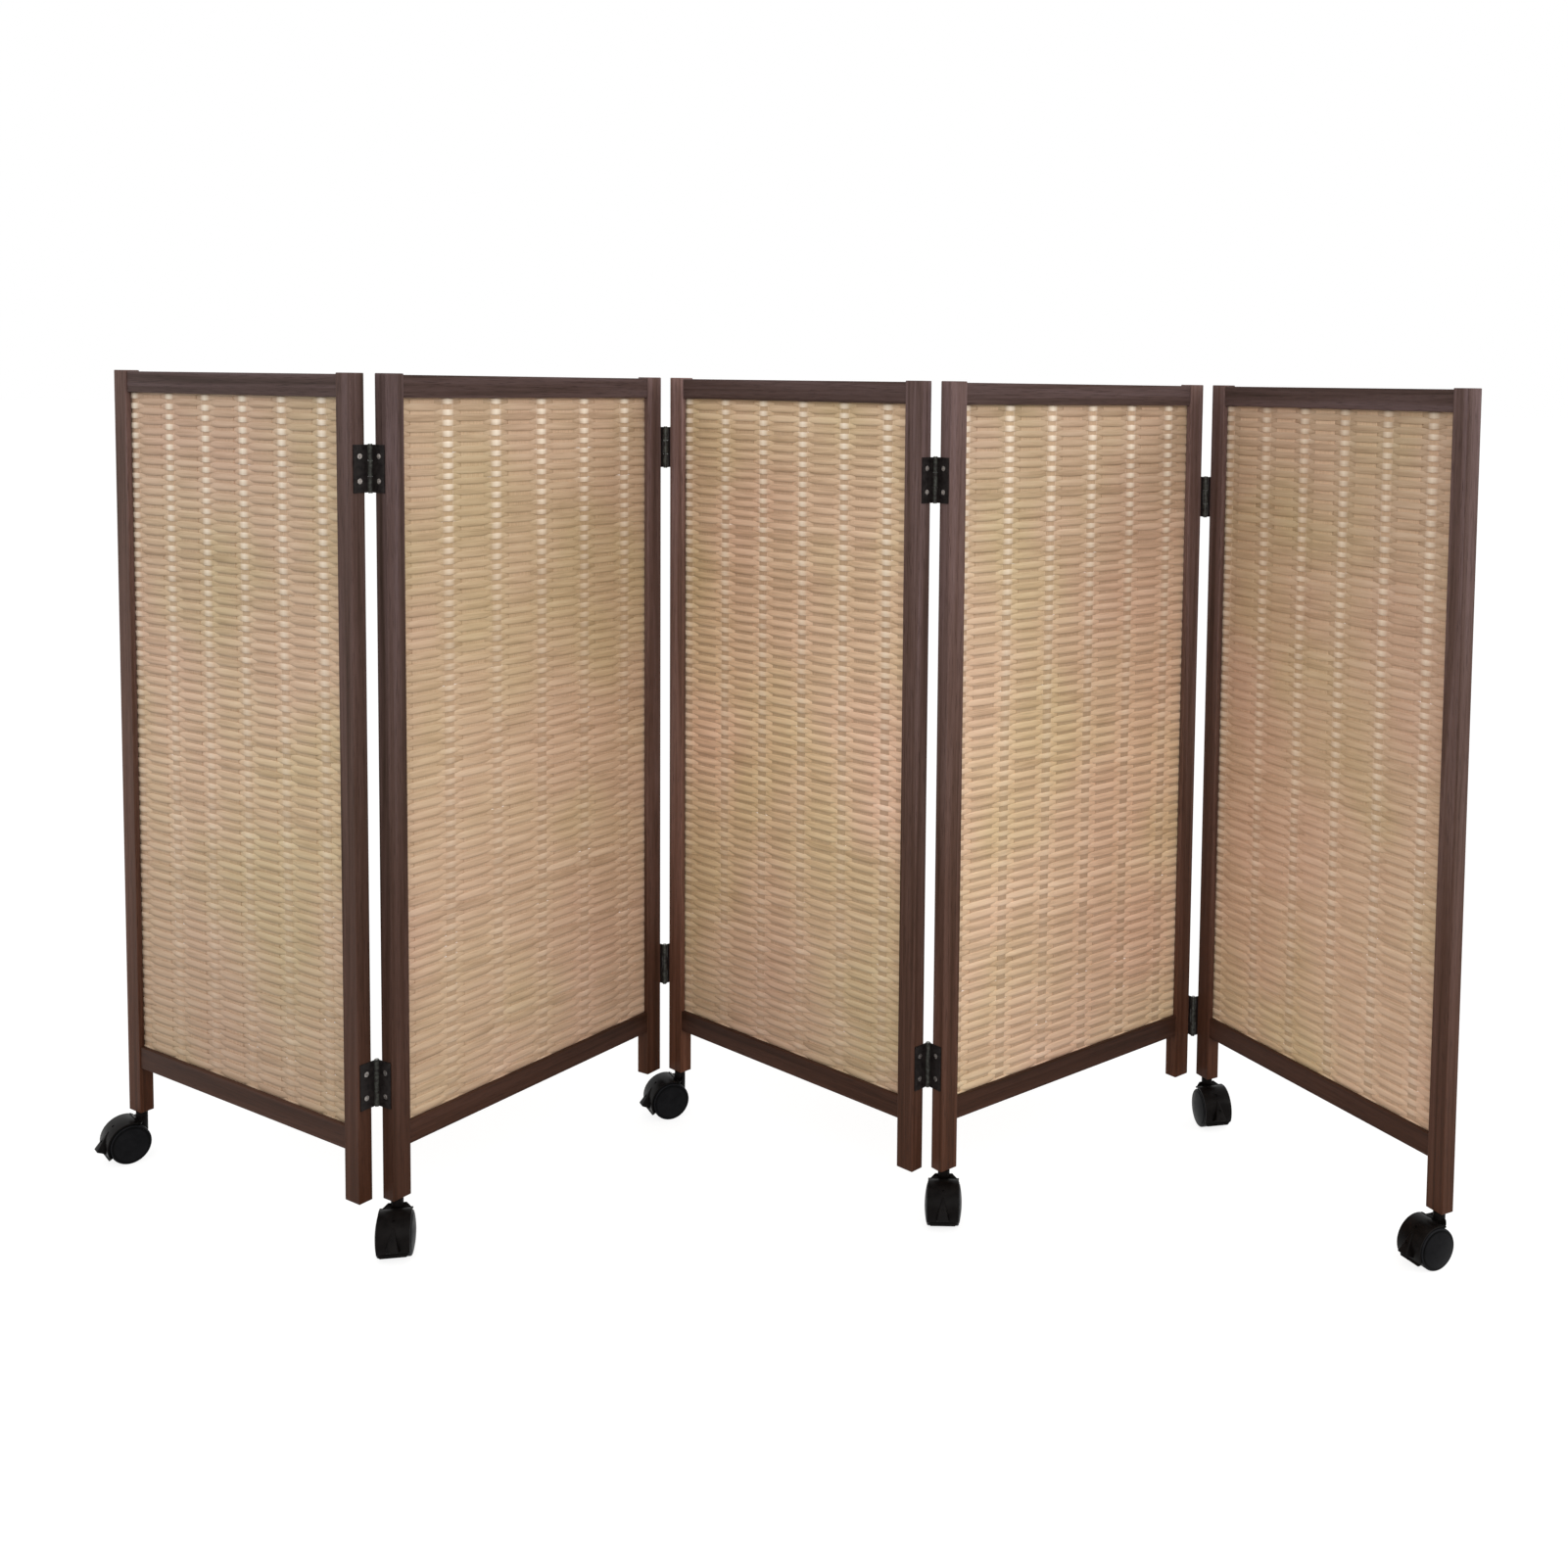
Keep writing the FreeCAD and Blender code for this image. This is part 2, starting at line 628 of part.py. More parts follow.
def wheel(name):
    """Hollow wheel: a closed disc outside, a rim, and a hub pressed on the axle."""
    body = doc.addObject("PartDesign::Body", name)
    plane = [item for item in body.Origin.OriginFeatures if item.Role == "XY_Plane"][0]
    sketch = body.newObject("Sketcher::SketchObject", f"{name}_section")
    sketch.AttachmentSupport = [(plane, "")]
    sketch.MapMode = "FlatFace"
    crown_face = "caster_width / 2"
    rim_face = "caster_width / 2 - wheel_crown"
    disc_face = "caster_width / 2 - wheel_crown - disc_wall"
    bore = "axle_radius + press_clearance"
    section = [
        ("0", crown_face),
        ("0", "axle_length / 2 + press_clearance"),
        (bore, "axle_length / 2 + press_clearance"),
        (bore, "neck_radius + hub_gap"),
        ("wheel_hub_radius", "neck_radius + hub_gap"),
        ("wheel_hub_radius", disc_face),
        ("wheel_radius - rim_wall", disc_face),
        ("wheel_radius - rim_wall", WHEEL_FACE),
        ("wheel_radius", WHEEL_FACE),
        ("wheel_radius", rim_face),
        ("wheel_radius - rim_ring", rim_face),
        ("wheel_radius - rim_ring", f"{rim_face} + ring_step"),
    ]
    polygon(sketch, section, domes=[len(section) - 1])
    turned = body.newObject("PartDesign::Revolution", f"{name}_turned")
    turned.Profile = sketch
    turned.ReferenceAxis = (sketch, ["V_Axis"])
    turned.Angle = FULL_TURN
    doc.recompute()
    rounded = body.newObject("PartDesign::Fillet", f"{name}_tread")
    edges = enumerate(turned.Shape.Edges, start=1)
    rounded.Base = (turned, [f"Edge{number}" for number, edge in edges if on_tread(edge)])
    bind(rounded, {"Radius": "wheel_round"})
    body.Tip = rounded
    return body


def caster_housing(name, place):
    """Hood over both wheels, joined by a web to the axle's hub and to the neck under the leg."""
    start = Rotation(Z_AXIS, size("hood_tail_angle"))
    shell_inside = "(wheel_radius + hood_gap)"
    shell_outside = "(wheel_radius + hood_gap + hood_wall)"
    shell = across(f"{name}_hood_outside", shell_outside, "hood_width", start, "hood_span")
    flare = across_box(f"{name}_flare_plate", "flare_angle", f"{shell_outside} - flare_thickness",
                       "flare_thickness", "-flare_length", "flare_length", "hood_width")
    inside = across(f"{name}_hood_inside", shell_inside, "hood_width + 2 * overrun")
    hood = cut(f"{name}_hood", fuse(f"{name}_hood_blank", [soften(shell, "hood_round"), flare]), [inside])
    tongue_start = Rotation(Z_AXIS, size("hood_tail_angle") - size("tongue_span"))
    tongue = cut(f"{name}_tongue",
                 across(f"{name}_tongue_outside", shell_outside, "tongue_width", tongue_start,
                        "2 * tongue_span"),
                 [across(f"{name}_tongue_inside", shell_inside, "hood_width + 2 * overrun")])
    web = across(f"{name}_web", f"{shell_inside} + hood_wall / 2", "web_thickness", start, "hood_span")
    disc = across(f"{name}_disc", "web_radius", "web_thickness")
    hub = across(f"{name}_hub", "housing_hub_radius", "2 * neck_radius")
    neck_top = "(caster_height - collar_height - collar_gap)"
    neck = cylinder(f"{name}_neck", "neck_radius", "neck_depth", at("0", "0", f"{neck_top} - neck_depth"))
    tab = doc.addObject("Part::Prism", f"{name}_tab_blank")
    tab.Polygon = TRIANGLE_SIDE_COUNT
    tab.Placement = Placement(Vector(), outward("tab_angle"))
    bind(tab, {"Circumradius": "tab_radius", "Height": shell_outside,
               **on_ray("tab_angle", f"{shell_outside} / 2")})
    raised = cut(f"{name}_tab_shell",
                 across(f"{name}_tab_outside", f"{shell_outside} + tab_height", "hood_width"),
                 [across(f"{name}_tab_inside", f"{shell_inside} + hood_wall / 2",
                         "hood_width + 2 * overrun")])
    mark = doc.addObject("Part::Common", f"{name}_tab")
    mark.Base = tab
    mark.Tool = raised
    tools = [across(f"{name}_axle_bore", "axle_radius + axle_clearance", "2 * neck_radius + 2 * overrun")]
    tools.append(cylinder(f"{name}_stem_bore", "stem_radius + stem_clearance", "stem_drop + overrun",
                          at("0", "0", "caster_height - stem_drop - collar_gap")))
    for angle in ("tab_angle", "upper_dimple_angle"):
        tools.append(cylinder(f"{name}_{angle}_dimple", "dimple_radius", "hood_wall + tab_height + overrun",
                              on_ray(angle, f"{shell_inside} + dimple_floor"), outward(angle)))
    whole = fuse(f"{name}_whole", [hood, tongue, web, disc, hub, neck, mark])
    finish(cut(name, whole, tools), name, place)


def stem_template():
    """Stem driven into the leg, with a collar that carries the leg on the caster."""
    shaft = cylinder("stem_shaft", "stem_radius", "stem_drop + stem_rise - stem_tip",
                     at("0", "0", "-stem_drop"))
    tip = cone("stem_point", "stem_radius", "stem_radius - stem_tip / 2", "stem_tip",
               at("0", "0", "stem_rise - stem_tip"))
    collar = cylinder("stem_collar", "collar_radius", "collar_height", at("0", "0", "-collar_height"))
    return fuse("stem", [shaft, tip, collar])


def caster(number, foot):
    """Housing, the pair of wheels and their axle, standing on the floor under a leg."""
    word = NUMBER_WORDS[number - 1]
    turn = Rotation(Z_AXIS, size(f"caster_{word}_turn"))
    place = Placement(Vector(foot.x, foot.y, 0), turn)
    caster_housing(f"caster_{number}_housing", place)
    axle_centre = Placement(Vector(size("caster_trail"), 0, size("wheel_radius")), Rotation())
    opposite = Placement(Vector(), Rotation(Z_AXIS, HALF_TURN))
    name = f"caster_{number}_wheels"
    finish(copies(name, wheel_body, [axle_centre, axle_centre.multiply(opposite)]), name, place)
    name = f"caster_{number}_axle"
    finish(copies(name, axle, [axle_centre.multiply(axle_end())]), name, place)


def axle_end():
    """The axle is centred between the wheels and lies across them."""
    return Placement(Vector(0, size("axle_length") / 2, 0), ALONG_AXLE)


screw = screw_template()
pilot = pilot_template()
outer_leaves = two_knuckle_leaf()
middle_leaves = one_knuckle_leaf()
pin = pin_template()
wheel_body = wheel("wheel")
axle = cylinder("axle", "axle_radius", "axle_length", at())
stem = stem_template()

places = panel_places()
for panel in PANELS:
    for side in ("left", "right"):
        post(panel, side, places[panel])
    for which in ("top", "bottom"):
        rail(panel, which, places[panel])
    mat(panel, places[panel])
    hinge_parts(panel, places[panel])
    stems = [post_place(side).multiply(Placement(Vector(size("post_face") / 2, 0, 0), Rotation()))
             for leg_panel, side in CASTER_LEGS if leg_panel == panel]
    name = f"panel_{panel}_caster_stem" + ("s" if len(stems) > 1 else "")
    finish(copies(name, stem, stems), name, places[panel])
for number, (panel, side) in zip(CASTERS, CASTER_LEGS):
    caster(number, stem_place(places[panel], side).Base)

doc.recompute()
for piece in doc.Objects:
    if "Invalid" in piece.State or "Error" in piece.State:
        raise RuntimeError(f"{piece.Label} failed: {piece.State}")
for piece in finished:
    if piece.Shape.isNull() or not piece.Shape.isValid():
        raise RuntimeError(f"{piece.Label} has no valid shape")

os.makedirs("parts", exist_ok=True)
for piece in finished:
    piece.Shape.exportStep(f"parts/{piece.Label}.step")
outline = FreeCAD.BoundBox()
for piece in finished:
    outline.add(piece.Shape.optimalBoundingBox(False))
print(len(finished), "sub-parts")
print("outline centre", outline.Center)
print("outline size", outline.XLength, outline.YLength, outline.ZLength)
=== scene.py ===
# %% [markdown]
# # A folding privacy screen in Blender
# Five panels stand in a zigzag on six twin-wheel casters. Each panel is a dark walnut frame round a
# mat of woven strands, and butt hinges join the panels. The solid model gives every piece its
# place: the wood, the hinges, the screws, the stems and the wheels keep their solids and only get
# finishes. The mats and the hoods of the casters are modelled anew here, because their looks lie in
# forms that the solids leave out: strands that pass over and under flat laths, and soft moulded
# hoods with a beak for the foot.

import json
import math

import bmesh
import bpy
import numpy as np
from mathutils import Matrix, Vector

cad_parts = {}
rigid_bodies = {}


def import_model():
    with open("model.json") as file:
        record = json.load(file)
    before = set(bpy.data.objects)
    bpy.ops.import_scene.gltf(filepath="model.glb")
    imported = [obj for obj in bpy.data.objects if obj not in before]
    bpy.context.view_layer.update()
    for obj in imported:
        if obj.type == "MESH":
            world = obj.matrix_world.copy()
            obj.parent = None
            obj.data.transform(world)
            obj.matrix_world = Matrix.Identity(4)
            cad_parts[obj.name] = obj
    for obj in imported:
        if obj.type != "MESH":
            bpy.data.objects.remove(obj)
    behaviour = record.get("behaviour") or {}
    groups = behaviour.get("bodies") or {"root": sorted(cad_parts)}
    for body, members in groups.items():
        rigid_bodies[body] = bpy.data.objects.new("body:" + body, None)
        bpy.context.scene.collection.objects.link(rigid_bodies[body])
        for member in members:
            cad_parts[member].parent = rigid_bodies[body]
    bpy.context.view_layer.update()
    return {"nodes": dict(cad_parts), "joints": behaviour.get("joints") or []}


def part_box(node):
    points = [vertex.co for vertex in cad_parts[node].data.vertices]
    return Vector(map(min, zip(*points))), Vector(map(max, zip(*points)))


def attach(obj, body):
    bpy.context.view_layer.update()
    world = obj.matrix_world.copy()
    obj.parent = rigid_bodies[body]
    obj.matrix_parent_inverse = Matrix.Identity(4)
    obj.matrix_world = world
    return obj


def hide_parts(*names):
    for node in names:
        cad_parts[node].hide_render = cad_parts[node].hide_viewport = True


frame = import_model()

# %% [markdown]
# ## The camera
# The camera stands where the photographer stood: about two metres in front of the screen, level with
# the tops of the panels and looking slightly down. Its place, turns and lens were found by matching
# the corners of the ten posts. The shift slides the picture without turning the camera, so the
# posts' lines keep the slants that they have in the photograph.

# %% Camera
CAMERA_PLACE = (0.054275, -2.034467, 0.99103)
# Turns in degrees
CAMERA_TO_THE_RIGHT = 5.693
CAMERA_DOWN = 4.047
CAMERA_ROLL = 0.791
camera = bpy.data.objects.new("camera", bpy.data.cameras.new("camera"))
bpy.context.scene.collection.objects.link(camera)
bpy.context.scene.camera = camera
camera.matrix_world = (Matrix.Translation(CAMERA_PLACE)
                       @ Matrix.Rotation(math.radians(-CAMERA_TO_THE_RIGHT), 4, "Z")
                       @ Matrix.Rotation(math.radians(90 - CAMERA_DOWN), 4, "X")
                       @ Matrix.Rotation(math.radians(CAMERA_ROLL), 4, "Z"))
camera.data.sensor_width = 36
camera.data.lens = 38.998
camera.data.shift_x = -0.1124
camera.data.shift_y = -0.178
camera.data.clip_end = 200
print("camera", [round(part, 3) for part in camera.location], "lens", camera.data.lens)

# %% [markdown]
# ## Node trees
# Every finish is a small network of nodes. One helper adds a node and joins or sets its inputs, so
# that a finish reads as a recipe: each line names a node and says what goes into it. The others are
# for the steps that come back in most finishes: a colour ramp, a sum, a change of range, a mix of two
# colours, a noise that is stretched along one axis, and a height that the light picks out.


# %% Helpers for node trees
def node(tree, kind, inputs=None, **settings):
    """Add a node, set its properties, and set or join its inputs by name or number."""
    made = tree.nodes.new(kind)
    for name, value in settings.items():
        setattr(made, name, value)
    for key, value in (inputs or {}).items():
        if isinstance(value, bpy.types.NodeSocket):
            tree.links.new(value, made.inputs[key])
        else:
            made.inputs[key].default_value = value
    return made


def ramp(tree, factor, stops):
    """Colour ramp from stops of (place, colour)."""
    made = node(tree, "ShaderNodeValToRGB", {"Fac": factor})
    bands = made.color_ramp.elements
    while len(bands) < len(stops):
        bands.new(0.5)
    for band, (place, colour) in zip(bands, stops):
        band.position = place
        band.color = (*colour, 1)
    return made.outputs["Color"]


def math_node(tree, operation, first, second=0.0, clamp=False):
    """One sum, and its result."""
    return node(tree, "ShaderNodeMath", {0: first, 1: second}, operation=operation,
                use_clamp=clamp).outputs[0]


def remap(tree, value, start, end, low, high):
    """Value whose range from start to end becomes the range from low to high."""
    return node(tree, "ShaderNodeMapRange", {"Value": value, "From Min": start, "From Max": end,
                                             "To Min": low, "To Max": high}).outputs[0]


def blend(tree, first, second, share=1.0, how="MIX"):
    """Mix of two colours, with the share of the second one."""
    return node(tree, "ShaderNodeMix", {"Factor": share, "A": first, "B": second},
                data_type="RGBA", blend_type=how).outputs["Result"]


def stretched_noise(tree, place, scale, **inputs):
    """Noise with its own scale along each axis: a small one draws it out, a large one squeezes it."""
    stretched = node(tree, "ShaderNodeMapping", {"Vector": place, "Scale": scale})
    return node(tree, "ShaderNodeTexNoise", {"Vector": stretched.outputs[0], "Scale": 1,
                                             **inputs}).outputs["Fac"]


def raise_surface(tree, principled, height, strength, distance):
    """Shade the surface as if it rose by a height."""
    bump = node(tree, "ShaderNodeBump", {"Height": height, "Strength": strength,
                                         "Distance": distance})
    tree.links.new(bump.outputs[0], principled.inputs["Normal"])


def finish(name, **shader):
    """Empty material with a Principled shader, whose plain values are set on its own sockets."""
    made = bpy.data.materials.new(name)
    made.use_nodes = True
    principled = made.node_tree.nodes["Principled BSDF"]
    for key, value in shader.items():
        principled.inputs[key.replace("_", " ")].default_value = value
    return made, made.node_tree, principled


def dress(piece, material):
    """Give a piece one material, in place of any that it has."""
    piece.data.materials.clear()
    piece.data.materials.append(material)


# %% [markdown]
# ## Floor and light
# A studio product picture has a soft light from all sides and a floor that fades into white. The
# world gives the even part of the light, and three large soft lamps, one in front and one at each
# side, give it direction. What the camera sees directly of the world is plain white. The floor is
# pale: for the camera it glows a little, so that it ends up white like the world, but a shadow still
# darkens it.

# %% World
WORLD_STRENGTH = 0.7


def seen_directly(tree):
    """1 for what the camera sees, also in a mirror or through glass, and 0 for light on objects."""
    rays = node(tree, "ShaderNodeLightPath")
    seen = math_node(tree, "MAXIMUM", rays.outputs["Is Camera Ray"], rays.outputs["Is Glossy Ray"])
    return math_node(tree, "MAXIMUM", seen, rays.outputs["Is Transmission Ray"])


world = bpy.data.worlds.new("studio")
bpy.context.scene.world = world
world.use_nodes = True
tree = world.node_tree
tree.nodes.clear()
soft_light = node(tree, "ShaderNodeBackground", {"Color": (1, 0.99, 0.975, 1),
                                                 "Strength": WORLD_STRENGTH})
white = node(tree, "ShaderNodeBackground", {"Color": (1, 1, 1, 1), "Strength": 1})
mixed = node(tree, "ShaderNodeMixShader", {0: seen_directly(tree), 1: soft_light.outputs[0],
                                           2: white.outputs[0]})
node(tree, "ShaderNodeOutputWorld", {"Surface": mixed.outputs[0]})
bpy.context.scene.view_settings.view_transform = "Standard"
print("world light", WORLD_STRENGTH)

# %% Floor
FLOOR_SIZE = 120
FLOOR_GREY = 0.30
FLOOR_GLOW = 0.84


def primitive(name, add, **settings):
    """Add a primitive with its operator, while nothing else is selected."""
    bpy.ops.object.select_all(action="DESELECT")
    add(**settings)
    made = bpy.context.object
    made.name = name
    return made


floor = primitive("floor", bpy.ops.mesh.primitive_plane_add, size=FLOOR_SIZE, location=(0, 0, 0))
floor_white, tree, principled = finish(
    "floor_white", Base_Color=(FLOOR_GREY, FLOOR_GREY, FLOOR_GREY, 1), Roughness=0.9,
    Specular_IOR_Level=0.0, Emission_Color=(1, 1, 1, 1))
glow = math_node(tree, "MULTIPLY", seen_directly(tree), FLOOR_GLOW)
tree.links.new(glow, principled.inputs["Emission Strength"])
dress(floor, floor_white)
print("floor", floor.dimensions[0], "m wide")

# %% Lamps
LAMP_WHITE = (1, 0.99, 0.98)


def soft_lamp(name, place, target, width, power):
    """Square area lamp that looks at a point."""
    lamp = bpy.data.lights.new(name, "AREA")
    lamp.shape = "SQUARE"
    lamp.size = width
    lamp.energy = power
    lamp.color = LAMP_WHITE
    holder = bpy.data.objects.new(name, lamp)
    bpy.context.scene.collection.objects.link(holder)
    holder.location = place
    holder.rotation_euler = (Vector(target) - Vector(place)).to_track_quat("-Z", "Y").to_euler()
    print(name, power, "W")


soft_lamp("lamp_front", place=(0.3, -2.7, 1.7), target=(0, 0.1, 0.5), width=2.4, power=30)
soft_lamp("lamp_right", place=(2.7, -1.1, 1.8), target=(0, 0, 0.8), width=1.3, power=20)
soft_lamp("lamp_left", place=(-2.7, -0.9, 1.8), target=(0, 0, 0.8), width=1.3, power=10)

# %% [markdown]
# ## Where each panel stands
# A turned box has its middle in the middle of its bounds, so the two posts of a panel give its line.
# The panel's own frame has X along the panel from its outer left face, Y away from the viewer and Z
# up from the bottom of the legs. Pieces are modelled in this frame and then put in their place.

# %% Panel frames
MM = 0.001
PANELS = [1, 2, 3, 4, 5]
POST_FACE = 25 * MM


def middle_of(name):
    """Middle of a solid's box."""
    low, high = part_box(name)
    return (low + high) / 2


panel_frames = {}
panel_turns = {}
for panel in PANELS:
    left = middle_of(f"panel_{panel}_left_post")
    right = middle_of(f"panel_{panel}_right_post")
    along = (right - left).normalized()
    foot = left - along * (POST_FACE / 2)
    foot.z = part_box(f"panel_{panel}_left_post")[0].z
    panel_turns[panel] = math.atan2(along.y, along.x)
    panel_frames[panel] = Matrix.Translation(foot) @ Matrix.Rotation(panel_turns[panel], 4, "Z")
    print("panel", panel, "turned", round(math.degrees(panel_turns[panel]), 1), "degrees")

# %% [markdown]
# ## Walnut
# The frames are square strips of dark walnut under a thin satin lacquer. Walnut shows slow dark
# bands along the strip, and fine pores that are many times longer than they are wide. Both are
# noises that are squeezed across the strip and stretched along it. The noises read the piece's own
# coordinates, and a Mapping node turns them so that they run along the strip: upwards on a post, and
# along the panel on a rail. The pores are slight dents, so they also feed a Bump node. Each post has
# its own painted light and shade. Painted shade makes all the wood darker and warmer towards the
# floor, and a painted sheen makes it lighter and cooler near the top.

# %% Grain shared by posts and rails
BAND_SCALE = (2.2, 90, 90)
PORE_SCALE = (40, 1500, 1500)
grain = bpy.data.node_groups.new("wood_grain", "ShaderNodeTree")
grain.interface.new_socket("Place", in_out="INPUT", socket_type="NodeSocketVector")
grain.interface.new_socket("Bands", in_out="OUTPUT", socket_type="NodeSocketFloat")
grain.interface.new_socket("Pores", in_out="OUTPUT", socket_type="NodeSocketFloat")
place = node(grain, "NodeGroupInput").outputs["Place"]
bands = stretched_noise(grain, place, BAND_SCALE, Detail=5, Roughness=0.62, Distortion=0.6)
pores = stretched_noise(grain, place, PORE_SCALE, Detail=2)
pores = ramp(grain, pores, [(0.56, (0, 0, 0)), (0.68, (1, 1, 1))])
node(grain, "NodeGroupOutput", {"Bands": bands, "Pores": pores})
print("group", grain.name, "with", len(grain.nodes), "nodes")

# %% Walnut finishes
QUARTER_TURN = math.radians(90)
BROWNS = [(0.30, (0.064, 0.039, 0.029)), (0.46, (0.108, 0.066, 0.055)),
          (0.58, (0.138, 0.088, 0.078)), (0.72, (0.172, 0.116, 0.110))]
PORE_BROWN = (0.016, 0.009, 0.007, 1)
PORE_STRENGTH = 0.55
# Painted shade near the floor and painted sheen near the top, from the falloff's bottom to its top
PAINTED_FALLOFF_BOTTOM = 50 * MM
PAINTED_FALLOFF_TOP = 1000 * MM
PAINTED_FALLOFF = [(0.0, (0.66, 0.43, 0.28)), (0.5, (0.96, 0.93, 0.9)), (1.0, (1.12, 1.18, 1.3))]
# Painted light and shade on each post, as a lightness, and how cool its brown is
PAINTED_POST_LIGHT = {(1, "left"): (1.1, 0.8), (1, "right"): (0.86, 0.88), (2, "left"): (0.82, 1.0),
         (2, "right"): (1.2, 0.9), (3, "left"): (1.8, 0.87), (3, "right"): (1.0, 0.97),
         (4, "left"): (1.17, 0.95), (4, "right"): (1.3, 0.88), (5, "left"): (1.0, 0.85),
         (5, "right"): (1.08, 0.98)}
RAILS = (0.73, 0.95)
WOOD_SMOOTH = 0.3
WOOD_ROUGH = 0.46
# Steps through the grain, in metres, so that no two strips look cut from the same place
NEXT_PANEL = 0.31
NEXT_POST = 0.17
NEXT_RAILS = 0.23


def walnut(name, turn, offset, shade, cool):
    """Satin walnut whose grain runs along a direction given by its turn."""
    made, tree, principled = finish(name, Specular_IOR_Level=0.06)
    place = node(tree, "ShaderNodeTexCoord").outputs["Object"]
    turned = node(tree, "ShaderNodeMapping", {"Vector": place, "Rotation": turn, "Location": offset})
    shared = node(tree, "ShaderNodeGroup", node_tree=grain)
    tree.links.new(turned.outputs[0], shared.inputs["Place"])
    # The post's painted light and shade, with the coolness of its brown
    tint = (shade, shade * (1 + cool) / 2, shade * cool)
    colour = ramp(tree, shared.outputs["Bands"], [
        (level, [part * share for part, share in zip(brown, tint)]) for level, brown in BROWNS])
    # Painted shade that darkens and warms the wood towards the floor, and painted sheen near the top
    height = node(tree, "ShaderNodeSeparateXYZ", {"Vector": place}).outputs["Z"]
    painted_falloff = ramp(tree, remap(tree, height, PAINTED_FALLOFF_BOTTOM, PAINTED_FALLOFF_TOP, 0.0, 1.0), PAINTED_FALLOFF)
    colour = blend(tree, colour, painted_falloff, how="MULTIPLY")
    pored = math_node(tree, "MULTIPLY", shared.outputs["Pores"], PORE_STRENGTH)
    colour = blend(tree, colour, PORE_BROWN, pored)
    tree.links.new(colour, principled.inputs["Base Color"])
    gloss = remap(tree, shared.outputs["Bands"], 0.0, 1.0, WOOD_SMOOTH, WOOD_ROUGH)
    tree.links.new(gloss, principled.inputs["Roughness"])
    dents = math_node(tree, "MULTIPLY", shared.outputs["Pores"], -1.0)
    raise_surface(tree, principled, dents, strength=0.25, distance=0.2 * MM)
    return made


for panel in PANELS:
    for number, side in enumerate(("left", "right")):
        material = walnut(f"walnut_{side}_post_{panel}", (0, QUARTER_TURN, 0),
                          (panel * NEXT_PANEL, number * NEXT_POST, 0), *PAINTED_POST_LIGHT[panel, side])
        dress(frame["nodes"][f"panel_{panel}_{side}_post"], material)
    material = walnut(f"walnut_rails_{panel}", (0, 0, -panel_turns[panel]),
                      (panel * NEXT_RAILS, 0, 0), *RAILS)
    for level in ("top", "bottom"):
        dress(frame["nodes"][f"panel_{panel}_{level}_rail"], material)
print("walnut on", 4 * len(PANELS), "strips")

# %% [markdown]
# ## Metal of the hinges
# The leaves are steel with a black coating, with a painted grey highlight along the barrels. The
# screw heads are bare bright steel, and the pins have a dull steel grey, like the axles and the stems
# of the casters. All share one group of faint blotches, which make the gloss uneven, as handled metal
# is.

# %% Metal finishes
# Distances from the hinge line: the painted highlight is full within the first and ends at the second
PAINTED_SHEEN_INSIDE = 4.5 * MM
PAINTED_SHEEN_OUTSIDE = 5.5 * MM
PAINTED_SHEEN_RAGGED = 4 * MM
PAINTED_SHEEN_STRENGTH = 0.85
PAINTED_SHEEN_GREY = (0.075, 0.078, 0.066, 1)
# Between these values of the blotches the gloss goes from smooth to rough
BLOTCH_LOW = 0.3
BLOTCH_HIGH = 0.7
blotches = bpy.data.node_groups.new("metal_blotches", "ShaderNodeTree")
blotches.interface.new_socket("Scale", in_out="INPUT", socket_type="NodeSocketFloat")
blotches.interface.new_socket("Blotches", in_out="OUTPUT", socket_type="NodeSocketFloat")
start = node(blotches, "NodeGroupInput")
place = node(blotches, "ShaderNodeTexCoord").outputs["Object"]
cloud = node(blotches, "ShaderNodeTexNoise", {"Vector": place, "Scale": start.outputs["Scale"],
                                              "Detail": 6, "Roughness": 0.6})
node(blotches, "NodeGroupOutput", {"Blotches": cloud.outputs["Fac"]})


def blotched(name, dark, light, smooth, rough, scale, light_from, **shader):
    """Finish whose colour and gloss wander with the blotches, and the parts to go on with."""
    made, tree, principled = finish(name, **shader)
    shared = node(tree, "ShaderNodeGroup", {"Scale": scale}, node_tree=blotches).outputs["Blotches"]
    gloss = remap(tree, shared, BLOTCH_LOW, BLOTCH_HIGH, smooth, rough)
    tree.links.new(gloss, principled.inputs["Roughness"])
    colour = ramp(tree, shared, [(0.35, dark), (light_from, light)])
    return made, tree, principled, shared, colour


def metal(name, dark, light, metallic, smooth, rough, scale, barrels=()):
    """Blotched metal, with a painted grey highlight round the upright lines that are given."""
    made, tree, principled, shared, colour = blotched(
        name, dark, light, smooth, rough, scale, light_from=0.65, Metallic=metallic,
        Specular_IOR_Level=0.2)
    # Painted highlight on the barrel: a grey band round its hinge line, with a ragged edge
    for line in barrels:
        place = node(tree, "ShaderNodeTexCoord").outputs["Object"]
        flat = node(tree, "ShaderNodeVectorMath", {0: place, 1: (1, 1, 0)}, operation="MULTIPLY")
        away = node(tree, "ShaderNodeVectorMath", {0: flat.outputs[0], 1: (*line, 0)},
                    operation="DISTANCE").outputs["Value"]
        away = math_node(tree, "ADD", away, math_node(tree, "MULTIPLY", shared, PAINTED_SHEEN_RAGGED))
        painted_sheen = remap(tree, away, PAINTED_SHEEN_INSIDE, PAINTED_SHEEN_OUTSIDE, PAINTED_SHEEN_STRENGTH, 0.0)
        colour = blend(tree, colour, PAINTED_SHEEN_GREY, painted_sheen)
    tree.links.new(colour, principled.inputs["Base Color"])
    raise_surface(tree, principled, shared, strength=0.15, distance=0.2 * MM)
    return made


